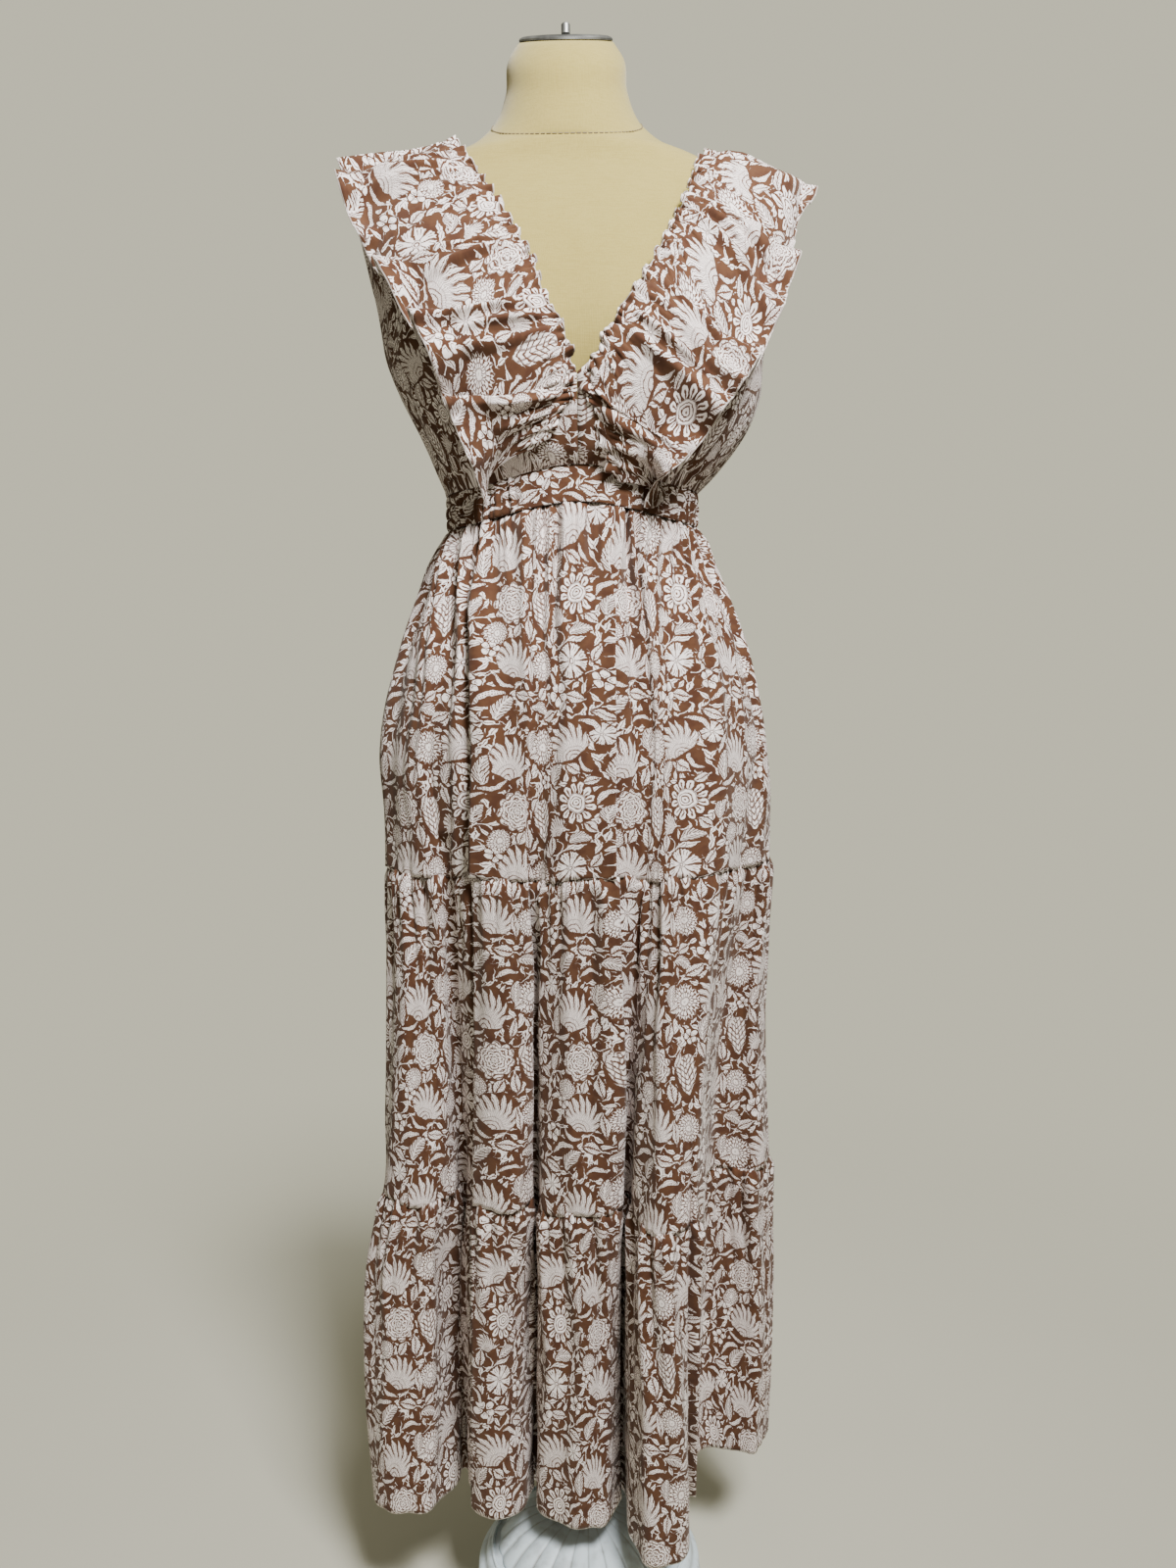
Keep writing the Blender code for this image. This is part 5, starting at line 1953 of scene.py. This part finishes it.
    @staticmethod
    def onto_band(grid: Array, facing: Facing) -> None:
        """Lets the lowest rows blouse over and turn in to the band's upper edge, in place.

        Args:
            grid: the panel.
            facing: front or back.
        """
        edge = Skirt.band_edge(grid[0, :, 0], facing) + BAND_HEIGHT
        left, right, front, back = (BODICE.size(n, BAND_SIDE_Z + BAND_HEIGHT) for n in SIDES)
        x, y = grid[0, :, 0], grid[0, :, 1]
        wide = np.where(x < 0, left, right)
        deep = np.where(y < 0, front, back)
        far = np.sqrt((x / wide) ** 2 + (y / deep) ** 2)
        for row, pull in ((0, 1.0), (1, 0.55), (2, 0.22), (3, 0.06)):
            inwards = (1 / far * 1.012 - 1) * pull
            grid[row, :, :2] *= (1 + np.minimum(inwards, 0.0))[:, None]
        grid[0, :, 2] = edge - 0.0012
        grid[1, :, 2] = np.maximum(grid[1, :, 2], edge - 0.0004)

    @staticmethod
    def row(side: Side, facing: Facing, turn: Array, z: Array, squareness: Array | float) -> Array:
        """Works out the points of one row.

        Args:
            side: left or right.
            facing: front or back.
            turn: angles, 0 at the centre seam and a quarter turn at the side.
            z: the heights.
            squareness: how square the section is there.

        Returns:
            The points.
        """
        power = 2.0 / squareness
        along, across = np.abs(np.cos(turn)) ** power, np.abs(np.sin(turn)) ** power
        depth = BODICE.size(facing.value, z)
        ease = (1 - eased(0.0, 0.5, across)) * CENTRE_X * (not facing.is_back)
        y = (1 if facing.is_back else -1) * depth * along
        return np.stack([side.sign * BODICE.size(side.value, z) * across + ease, y, z], axis=1)

    def build(self, wardrobe: Wardrobe) -> None:
        """Builds the four panels.

        Args:
            wardrobe: the finishes.
        """
        for facing in Facing:
            for side in Side:
                node = f"bodice_{facing.value}_{side.value}"
                piece = self.panel(side, facing).made(f"voile_{node}", wardrobe.print_voile)
                declare(piece, node, self.cut)


@dataclass
class Ruffle:
    """A wide gathered flounce with a ruched heading, sewn along the neck edge from waist to waist.

    Its rows run from the front waist to the back one. Each has the x and z of the stitched line, and
    the x, y and z of the free edge. The laps are counted in rows.
    """

    side: Side
    front: Rows
    shoulder: tuple[float, float, float, float, float]
    laps: tuple[float, ...]
    arch: float
    widening: float
    seed: float
    back: Rows = (
        (0.112, 1.3960, 0.2060, 0.0280, 1.3780),
        (0.098, 1.3760, 0.1980, 0.0560, 1.3520),
        (0.081, 1.3560, 0.1840, 0.0820, 1.3180),
        (0.063, 1.3350, 0.1600, 0.1040, 1.2820),
        (0.045, 1.3140, 0.1280, 0.1190, 1.2480),
        (0.027, 1.2920, 0.0900, 0.1260, 1.2140),
        (0.014, 1.2750, 0.0480, 0.1290, 1.1800),
        (0.005, 1.2600, 0.0030, 0.1300, 1.1560),
    )
    steps: int = 640
    depth_steps: int = 30
    heading_steps: int = 7
    heading_width: float = 0.0125
    lift: float = 0.0027
    waist_lift: float = 0.0020
    waist_rows: float = 2.0  # over how many rows the waist's lift dies away
    arch_rows: float = 1.6  # and the shoulder's arch
    spring: float = 0.0110  # how far its outer half stays off the bodice
    bow: float = 0.0100
    lap_depth: float = 0.0250
    lap_hang: float = 0.0260
    lap_step: float = 0.30  # rows over which a lobe comes out from under the one below
    lap_rows: float = 2.4  # rows over which it sinks again, at the most
    over_shoulder: float = 12.0  # the row past which the laps hang the other way
    from_centre: float = 0.0015
    cut: Cut = Cut(1.02, 0.122)
    print_scale: float = 0.8  # the fanned cloth lies this much closer than its cut

    def guides(self) -> tuple[Array, Array]:
        """Works out the stitched line and the free edge.

        Returns:
            The points of both, one a row.
        """
        neck, free = [], []
        for neck_x, neck_z, free_x, free_y, free_z in (*self.front, self.shoulder, *self.back):
            is_back = free_y > 0
            neck_x *= 1 + self.widening * is_back
            width = float(BODICE.size(self.side.value, neck_z))
            depth = float(BODICE.size("back" if is_back else "front", neck_z))
            n = float(BODICE.size("squareness", neck_z))
            reach = max(1 - (neck_x / width) ** n, 0.0) ** (1 / n)
            neck_y = (depth + self.lift) * reach * (1 if is_back else -1) * (free_y != 0)
            neck.append((self.side.sign * neck_x, neck_y, neck_z))
            free.append((self.side.sign * free_x, free_y, free_z))
        return np.array(neck), np.array(free)

    def lobes(self, at: Array) -> Array:
        """Makes each lobe stand proud at its lower end and sink under the next one at its upper end.

        Args:
            at: places, in rows.

        Returns:
            How proud the cloth is at each place, from 0 to 1.
        """
        laps = np.asarray(self.laps)
        cell = np.clip(np.searchsorted(laps, at, side="right") - 1, 0, len(laps) - 2)
        length = laps[cell + 1] - laps[cell]
        t = (at - laps[cell]) / length
        t = np.where(laps[cell] > self.over_shoulder, 1 - t, t) * length
        sinking = eased(self.lap_step, np.minimum(length, self.lap_rows), t)
        return eased(0.0, self.lap_step, t) * (1 - sinking)

    def off_bodice(self, grid: Array, lift: Array) -> Array:
        """Moves a grid clear of the bodice and of the form under it.

        Args:
            grid: the points.
            lift: how far each stays off the bodice, at the least.

        Returns:
            The moved grid.
        """
        return TORSO.off(moved_off(BODICE.outside, grid, lift), Bodice.clearance + lift)

    def sheet(self) -> Cloth:
        """Works out the flounce with its heading.

        Returns:
            The ruffle as a grid, from the heading's edge to the free edge, facing outwards.
        """
        neck, free = self.guides()
        knots = np.arange(len(neck), dtype=float)
        at = np.linspace(0, knots[-1], self.steps + 1)
        neck = np.stack([smooth(knots, neck[:, k], at) for k in range(3)], axis=1)
        free = np.stack([smooth(knots, free[:, k], at) for k in range(3)], axis=1)
        run = np.concatenate([[0], np.cumsum(np.linalg.norm(np.diff((neck + free) / 2, axis=0), axis=1))])
        along = run / run[-1] * self.cut.width
        shares = np.linspace(0, 1, self.depth_steps + 1)
        shares_2d = shares[:, None]
        bulge = 4 * shares * (1 - shares)
        grid = neck[None] + (free - neck)[None] * shares_2d[..., None]
        shoulder = np.exp(-(((at - len(self.front)) / self.arch_rows) ** 2)) * self.arch
        grid[..., 2] += bulge[:, None] * shoulder
        outward = normals_of(grid) * self.side.sign
        lift = np.interp(shares, (0.0, 0.2, 0.5), (self.lift, self.spring * 0.7, self.spring))
        end_lift = self.waist_lift * np.exp(-((at / self.waist_rows) ** 2))
        grid = grid + outward * (bulge * self.bow)[:, None, None]
        grid = self.off_bodice(grid, lift[:, None] + end_lift)
        down = -np.gradient(grid, axis=1)
        down /= np.linalg.norm(down, axis=2, keepdims=True)
        skewed = at[None] + 0.35 * np.sin(shares_2d * 2.6 + self.seed) * (1 - shares_2d)
        lobe = self.lobes(skewed)
        grow = eased(0.0, 0.40, shares_2d)
        grid = grid + outward * (self.lap_depth * grow * lobe)[..., None]
        downhill = 1 - 2 * eased(self.over_shoulder - 1, self.over_shoulder + 1, at)
        grid = grid + down * (self.lap_hang * grow * lobe * downhill[None])[..., None]
        grid = grid + outward * self.folds(along, shares_2d)[..., None]
        grid = self.off_bodice(grid, (self.lift + 0.004 * shares_2d) + end_lift)
        heading = self.heading(grid, outward[0], along, end_lift)
        grid = np.concatenate([heading, grid])
        width = self.cut.length - self.heading_width
        above = np.linspace(-self.heading_width, 0, self.heading_steps + 1)[:-1]
        depth = np.concatenate([above, shares * width])
        places = (along[None] * self.print_scale + self.seed, -depth[:, None] + self.seed)
        cut_map = np.stack(np.broadcast_arrays(*places), axis=2)
        edge = np.minimum(depth + self.heading_width, width - depth)
        cloth = Cloth(grid, cut_map, np.repeat(edge[:, None], len(at), axis=1))
        return cloth if self.side is Side.RIGHT else cloth.turned_over()

    def folds(self, along: Array, shares: Array) -> Array:
        """Works out gathers that fan out from the stitched line, and the free edge's soft waves.

        Args:
            along: places along the cut, in metres.
            shares: how far each row is from the stitched line, from 0 to 1.

        Returns:
            How far each point stands out.
        """
        place = along[None] + 0.006 * np.sin(shares * 3.0 + along[None] * 14)
        fine = gathered(place, 0.0085, self.seed) * 0.0026 * np.exp(-shares / 0.18)
        middle = gathered(place, 0.0205, self.seed + 1) * 0.0042 * np.exp(-((shares - 0.25) / 0.42) ** 2)
        soft = uneven(place, 0.052, self.seed + 2) * 0.0058 * eased(0.1, 0.9, shares)
        edge = uneven(along[None], 0.019, self.seed + 3) * 0.0016 * eased(0.82, 1.0, shares)
        ends = eased(0.0, 0.02, along) * eased(0.0, 0.02, along[-1] - along)
        return (fine + middle + soft + edge) * eased(0.0, 0.05, shares) * ends[None]

    def heading(self, grid: Array, outward: Array, along: Array, end_lift: Array) -> Array:
        """Works out the narrow frill that stands up along the neck edge.

        Args:
            grid: the flounce.
            outward: its outward directions along the stitched line.
            along: places along the cut, in metres.
            end_lift: how much further the ruffle is from the bodice near the waist.

        Returns:
            The frill's rows, from its free edge to just before the stitched line.
        """
        inward = grid[0] - grid[3]
        inward /= np.linalg.norm(inward, axis=1, keepdims=True)
        shares = np.linspace(1.0, 0.0, self.heading_steps + 1)[:-1, None]
        size = 1.0 + 0.22 * uneven(along, 0.031, self.seed + 5)
        rows = grid[0][None] + inward[None] * (self.heading_width * size)[None, :, None] * shares[..., None]
        rows = self.off_bodice(rows, self.lift + end_lift[None])
        wave = 0.6 * uneven(along, 0.0105, self.seed + 6) + 0.5 * uneven(along, 0.0185, self.seed + 7)
        stand = 0.0042 + 0.0062 * wave[None]
        rows = rows + outward[None] * (stand * shares**1.1)[..., None]
        middle = np.where(rows[..., 1] < 0, CENTRE_X, 0.0)
        sign = self.side.sign
        rows[..., 0] = middle + sign * np.maximum(sign * (rows[..., 0] - middle), self.from_centre)
        return rows

    def build(self, wardrobe: Wardrobe) -> None:
        """Builds the ruffle.

        Args:
            wardrobe: the finishes.
        """
        node = f"ruffle_{self.side.value}"
        piece = self.sheet().made(f"voile_{node}", wardrobe.print_voile)
        declare(piece, node, self.cut)


LEFT_RUFFLE = Ruffle(
    side=Side.LEFT,
    front=(
        (0.032, 1.1210, 0.0750, -0.1150, 1.0900),
        (0.018, 1.1420, 0.0870, -0.1260, 1.1150),
        (0.009, 1.1620, 0.0990, -0.1330, 1.1450),
        (0.008, 1.1860, 0.1090, -0.1370, 1.1730),
        (0.017, 1.2140, 0.1170, -0.1380, 1.1980),
        (0.031, 1.2430, 0.1310, -0.1330, 1.2270),
        (0.043, 1.2790, 0.1500, -0.1150, 1.2580),
        (0.058, 1.3090, 0.1710, -0.0930, 1.2960),
        (0.073, 1.3380, 0.1900, -0.0730, 1.3330),
        (0.087, 1.3660, 0.2010, -0.0520, 1.3640),
        (0.103, 1.3920, 0.2080, -0.0270, 1.3860),
    ),
    shoulder=(0.1190, 1.4085, 0.2110, 0.0000, 1.4000),
    laps=(-0.6, 2.4, 5.0, 6.7, 9.6, 13.0, 14.6, 16.2, 17.8, 19.6),
    arch=0.011,
    widening=0.0,
    seed=0.31,
)
RIGHT_RUFFLE = Ruffle(
    side=Side.RIGHT,
    front=(
        (0.043, 1.0960, 0.0700, -0.1140, 1.0920),
        (0.036, 1.1190, 0.0780, -0.1190, 1.0940),
        (0.028, 1.1430, 0.0860, -0.1270, 1.0990),
        (0.021, 1.1660, 0.0970, -0.1310, 1.1090),
        (0.034, 1.1940, 0.1140, -0.1350, 1.1290),
        (0.051, 1.2210, 0.1310, -0.1370, 1.1510),
        (0.070, 1.2520, 0.1480, -0.1340, 1.1740),
        (0.088, 1.2870, 0.1700, -0.1180, 1.2120),
        (0.104, 1.3170, 0.1890, -0.0930, 1.2560),
        (0.117, 1.3480, 0.2040, -0.0600, 1.3060),
        (0.127, 1.3780, 0.2150, -0.0280, 1.3450),
    ),
    shoulder=(0.1390, 1.3975, 0.2260, 0.0000, 1.3660),
    laps=(-0.6, 3.0, 6.4, 8.7, 13.0, 14.6, 16.2, 17.8, 19.6),
    arch=0.007,
    widening=0.12,
    seed=0.77,
)


@dataclass
class Torso:
    """The padded form in its linen-like cover, with the seam round its neck, its cap and its pin."""

    sides: int = 160
    levels: int = 150
    seam_from: tuple[float, float] = (1.4290, 1.4170)
    thread_radius: float = 0.00055
    stitches: int = 96
    stitch_share: float = 0.72  # of the distance from stitch to stitch
    seam_groove: tuple[float, float] = (0.0010, 0.0022)  # its depth and its half width
    neck_radius: float = 0.06
    cap_outline: Outline = (
        (0.0, 0.0), (0.0395, 0.0), (0.0420, 0.0008), (0.0425, 0.0024), (0.0415, 0.0040), (0.0395, 0.0050),
        (0.0370, 0.0052), (0.0345, 0.0046), (0.0120, 0.0044), (0.0095, 0.0052), (0.0, 0.0052),
    )
    cap_height: float = 0.0052
    cap_depth_share: float = 0.88  # the neck is narrower from front to back
    pin_outline: Outline = (
        (0.0, 0.0), (0.0040, 0.0), (0.0040, 0.0080), (0.0034, 0.0088), (0.0014, 0.0088), (0.0012, 0.0076),
        (0.0, 0.0076),
    )
    pin_radius: float = 0.0042

    def build(self, wardrobe: Wardrobe) -> None:
        """Builds the form, the neck seam, the cap and the pin.

        Args:
            wardrobe: the finishes.
        """
        cover = self.cover(wardrobe.cover)
        dressed(cover, "dress_form")
        dressed(self.neck_seam(wardrobe.thread))
        dressed(self.cap(wardrobe.steel), "neck_cap")
        dressed(self.pin(wardrobe.steel), "neck_pin")
        LOG.info("torso: cover, seam, cap and pin")

    def cover(self, finish: Material) -> Object:
        """Builds the covered body: a sheet rolled up, joined behind and closed at both ends.

        Args:
            finish: its material.

        Returns:
            The object.
        """
        turn = np.linspace(0, 2 * np.pi, self.sides + 1) + np.pi / 2
        z = np.linspace(TORSO.bottom_z, TORSO.top_z, self.levels + 1)
        points = TORSO.surface(*np.meshgrid(turn, z))
        seam = np.array([self.seam_level(t) for t in turn])
        depth, width = self.seam_groove
        sink = depth * np.exp(-(((z[:, None] - seam[None]) / width) ** 2))
        points[..., :2] *= (1 - sink / self.neck_radius)[..., None]
        return rolled("cover_torso", points, finish, 50.0)

    def seam_level(self, turn: float) -> float:
        """Height on the side line at which the neck's seam runs."""
        side, front = self.seam_from
        return side + (front - side) * max(0.0, -math.sin(turn))

    def neck_seam(self, finish: Material) -> Object:
        """Builds the ring of short stitches that lie on the seam round the neck.

        Args:
            finish: their material.

        Returns:
            The object.
        """
        mesh = bmesh.new()
        for number in range(self.stitches):
            turn = 2 * np.pi * number / self.stitches
            half = np.pi / self.stitches * self.stitch_share
            start, end = (
                Vector(TORSO.surface(np.array([t]), np.array([self.seam_level(t)]))[0])
                for t in (turn - half, turn + half)
            )
            ring = bmesh.ops.create_cone(
                mesh, cap_ends=True, segments=6, radius1=self.thread_radius, radius2=self.thread_radius,
                depth=(end - start).length,
            )["verts"]
            aim = (end - start).to_track_quat("Z", "Y").to_matrix().to_4x4()
            bmesh.ops.transform(mesh, verts=ring, matrix=Matrix.Translation((start + end) / 2) @ aim)
        return from_bmesh("neck_seam_stitches", mesh, finish)

    def cap(self, finish: Material) -> Object:
        """Builds the thin plate on the neck, with a rolled edge and a shallow dish round its pin.

        Args:
            finish: its material.

        Returns:
            The object.
        """
        slope = Matrix.Identity(4)
        slope[1][1] = self.cap_depth_share
        slope[2][1] = TORSO.lean * self.cap_depth_share
        lift = Matrix.Translation((0, 0, TORSO.top_z + SEAM))
        return turned("neck_plate", self.cap_outline, 128, finish, 40.0, lift @ slope)

    def pin(self, finish: Material) -> Object:
        """Builds the small round pin in the middle of the plate.

        Args:
            finish: its material.

        Returns:
            The object.
        """
        base = TORSO.top_z + SEAM + self.cap_height + SEAM + TORSO.lean * self.pin_radius
        return turned("neck_stud", self.pin_outline, 48, finish, 30.0, Matrix.Translation((0, 0, base)))


@dataclass
class Stand:
    """The pole with its flange, the fluted dome, and the round foot with its ring of beads."""

    flutes: int = 24
    beads: int = 216
    bead_ring: tuple[float, float] = (0.0965, 0.0605)
    bead_radius: float = 0.0016
    pole_radius: float = 0.0125
    pole_span: tuple[float, float] = (0.1103, 0.7914)
    flange_radius: float = 0.0360
    flange_span: tuple[float, float] = (0.7917, 0.7997)
    foot_outline: Outline = (
        (0.0, 0.0), (0.1085, 0.0), (0.1110, 0.0012), (0.1120, 0.0040), (0.1120, 0.0300), (0.1112, 0.0330),
        (0.1090, 0.0360), (0.1096, 0.0385), (0.1110, 0.0410), (0.1108, 0.0440), (0.1090, 0.0470),
        (0.1060, 0.0485), (0.1042, 0.0500), (0.1030, 0.0520), (0.1026, 0.0550), (0.1000, 0.0580),
        (0.0960, 0.0590), (0.0930, 0.0594), (0.0900, 0.0600), (0.0, 0.0600),
    )
    dome: Chart = Chart(
        ("place", "radius", "z", "depth"),
        (
            (0, 0.0890, 0.0603, 0.000),
            (1, 0.0890, 0.0640, 0.045),
            (2, 0.0740, 0.0790, 0.075),
            (3, 0.0520, 0.0900, 0.075),
            (4, 0.0280, 0.0965, 0.030),
            (5, 0.0230, 0.1100, 0.000),
        ),
    )

    def build(self, wardrobe: Wardrobe) -> None:
        """Builds the foot, the dome, the pole, the flange and the beads.

        Args:
            wardrobe: the finishes.
        """
        iron, steel = wardrobe.iron, wardrobe.steel
        dressed(turned("turned_foot", self.foot_outline, 160, iron, 50.0), "stand_foot")
        dressed(self.fluted_dome(iron), "stand_dome")
        pole = turned("stand_tube", rod(self.pole_radius, *self.pole_span), 64, steel, 30.0)
        dressed(pole, "stand_pole")
        flange = turned("form_mount_plate", rod(self.flange_radius, *self.flange_span), 72, steel, 30.0)
        dressed(flange, "form_flange")
        dressed(self.bead_row(iron))
        LOG.info("stand: foot, dome, beads, pole and flange")

    def fluted_dome(self, finish: Material) -> Object:
        """Builds the dome, whose flutes run in to the socket of the pole.

        Args:
            finish: its material.

        Returns:
            The object.
        """
        turn = np.linspace(0, 2 * np.pi, self.flutes * 12 + 1)
        place = np.linspace(0, 5, 46)
        radius, z, depth = (smooth(range(6), self.dome.column(n), place) for n in ("radius", "z", "depth"))
        scallop = 1 - depth[:, None] * (1 - np.abs(np.sin(turn * self.flutes / 2)) ** 0.8)[None]
        wide = radius[:, None] * scallop
        high = np.repeat(z[:, None], len(turn), 1)
        points = np.stack([np.cos(turn) * wide, np.sin(turn) * wide, high], axis=2)
        return rolled("fluted_dome", points, finish, 45.0)

    def bead_row(self, finish: Material) -> Object:
        """Builds the ring of small beads on the foot's shoulder.

        Args:
            finish: their material.

        Returns:
            The object.
        """
        mesh = bmesh.new()
        ring, height = self.bead_ring
        for number in range(self.beads):
            turn = 2 * math.pi * number / self.beads
            place = Matrix.Translation((ring * math.cos(turn), ring * math.sin(turn), height))
            fine = {"u_segments": 8, "v_segments": 5}
            bmesh.ops.create_uvsphere(mesh, radius=self.bead_radius, matrix=place, **fine)
        return from_bmesh("foot_beads", mesh, finish, 180.0)


@dataclass
class Studio:
    """The floor, the soft lights and the camera."""

    floor_colour: Colour = rgb(208, 205, 188)
    air_colour: Colour = rgb(234, 230, 204)
    floor_worn: Colour = rgb(203, 200, 183)
    floor_fade: tuple[float, float] = (1.05, 0.65)  # how far out it fades, and how softly
    seen_air: float = 0.86
    lit_air: float = 0.32
    sensor: float = 36.0
    lens: float = 1202 / 1600 * 36
    stands_at: tuple[float, float, float] = (0.0103, -1.12, 0.925)
    pitch: float = 85.0  # 90 is level
    roll: float = -0.83

    def build(self) -> None:
        """Sets the stage: the floor, the air, a wide sun from the right, a lamp above and the camera."""
        self.floor()
        self.air()
        key = bpy.data.lights.new("key", "SUN")
        key.angle = math.radians(10.0)
        self.lit(key, (0.45, -1.00, 1.70), (0.0, 0.0, 0.0), 1.5)
        upper = bpy.data.lights.new("upper", "AREA")
        upper.size = 0.5
        upper.spread = math.radians(115.0)
        self.lit(upper, (0.50, -1.30, 2.15), (0.0, 0.0, 1.50), 34.0)
        self.camera()

    def floor(self) -> None:
        """A pale floor that fades into the background away from the object."""
        mesh = bmesh.new()
        bmesh.ops.create_circle(mesh, cap_ends=True, segments=96, radius=2.0)
        recipe = Recipe("pale_floor")
        mottle = recipe.noise(recipe.place("Object"), 3.0, 4.0)
        colour = blend(recipe.tree, "RGBA", mottle, self.floor_colour, self.floor_worn)
        away = recipe.place("Object").vector("LENGTH", output="Value")
        alpha = away.below(*self.floor_fade)
        recipe.put(Base_Color=colour, Roughness=0.9, Specular_IOR_Level=0.1, Alpha=alpha)
        from_bmesh("floor", mesh, recipe.material)

    def air(self) -> None:
        """The even light of the room, and the pale background."""
        world = bpy.data.worlds.new("room")
        world.use_nodes = True
        tree = world.node_tree
        glow = tree.nodes["Background"]
        glow.inputs["Color"].default_value = self.air_colour
        path = tree.nodes.new("ShaderNodeLightPath")
        seen = Wire(tree, path.outputs["Is Camera Ray"])
        feed(tree, glow.inputs["Strength"], seen.mixed(self.lit_air, self.seen_air))
        bpy.context.scene.world = world

    @staticmethod
    def lit(lamp: bpy.types.Light, place: tuple, aim: tuple, power: float) -> None:
        """Puts up a light, turned to a point.

        Args:
            lamp: the light.
            place: where it stands.
            aim: what it is turned to.
            power: its strength.
        """
        lamp.energy = power
        obj = bpy.data.objects.new(lamp.name, lamp)
        obj.location = place
        obj.rotation_euler = (Vector(aim) - Vector(place)).to_track_quat("-Z", "Y").to_euler()
        bpy.context.scene.collection.objects.link(obj)

    def camera(self) -> None:
        """Puts the camera at the photograph's place."""
        data = bpy.data.cameras.new("camera")
        data.lens = self.lens
        data.sensor_width = self.sensor
        data.clip_start = 0.01
        obj = bpy.data.objects.new("camera", data)
        pitch = Matrix.Rotation(math.radians(self.pitch), 4, "X")
        roll = Matrix.Rotation(math.radians(self.roll), 4, "Z")
        obj.matrix_world = Matrix.Translation(self.stands_at) @ pitch @ roll
        bpy.context.scene.collection.objects.link(obj)
        bpy.context.scene.camera = obj


def main() -> None:
    """Builds the dress, the form and its stand, then the studio."""
    logging.basicConfig(level=logging.INFO)
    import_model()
    wardrobe = Wardrobe.made()
    Stand().build(wardrobe)
    Torso().build(wardrobe)
    Bodice().build(wardrobe)
    Waistband().build(wardrobe)
    Skirt().build(wardrobe)
    for ruffle in (LEFT_RUFFLE, RIGHT_RUFFLE):
        ruffle.build(wardrobe)
    Studio().build()


if __name__ == "__main__":
    main()
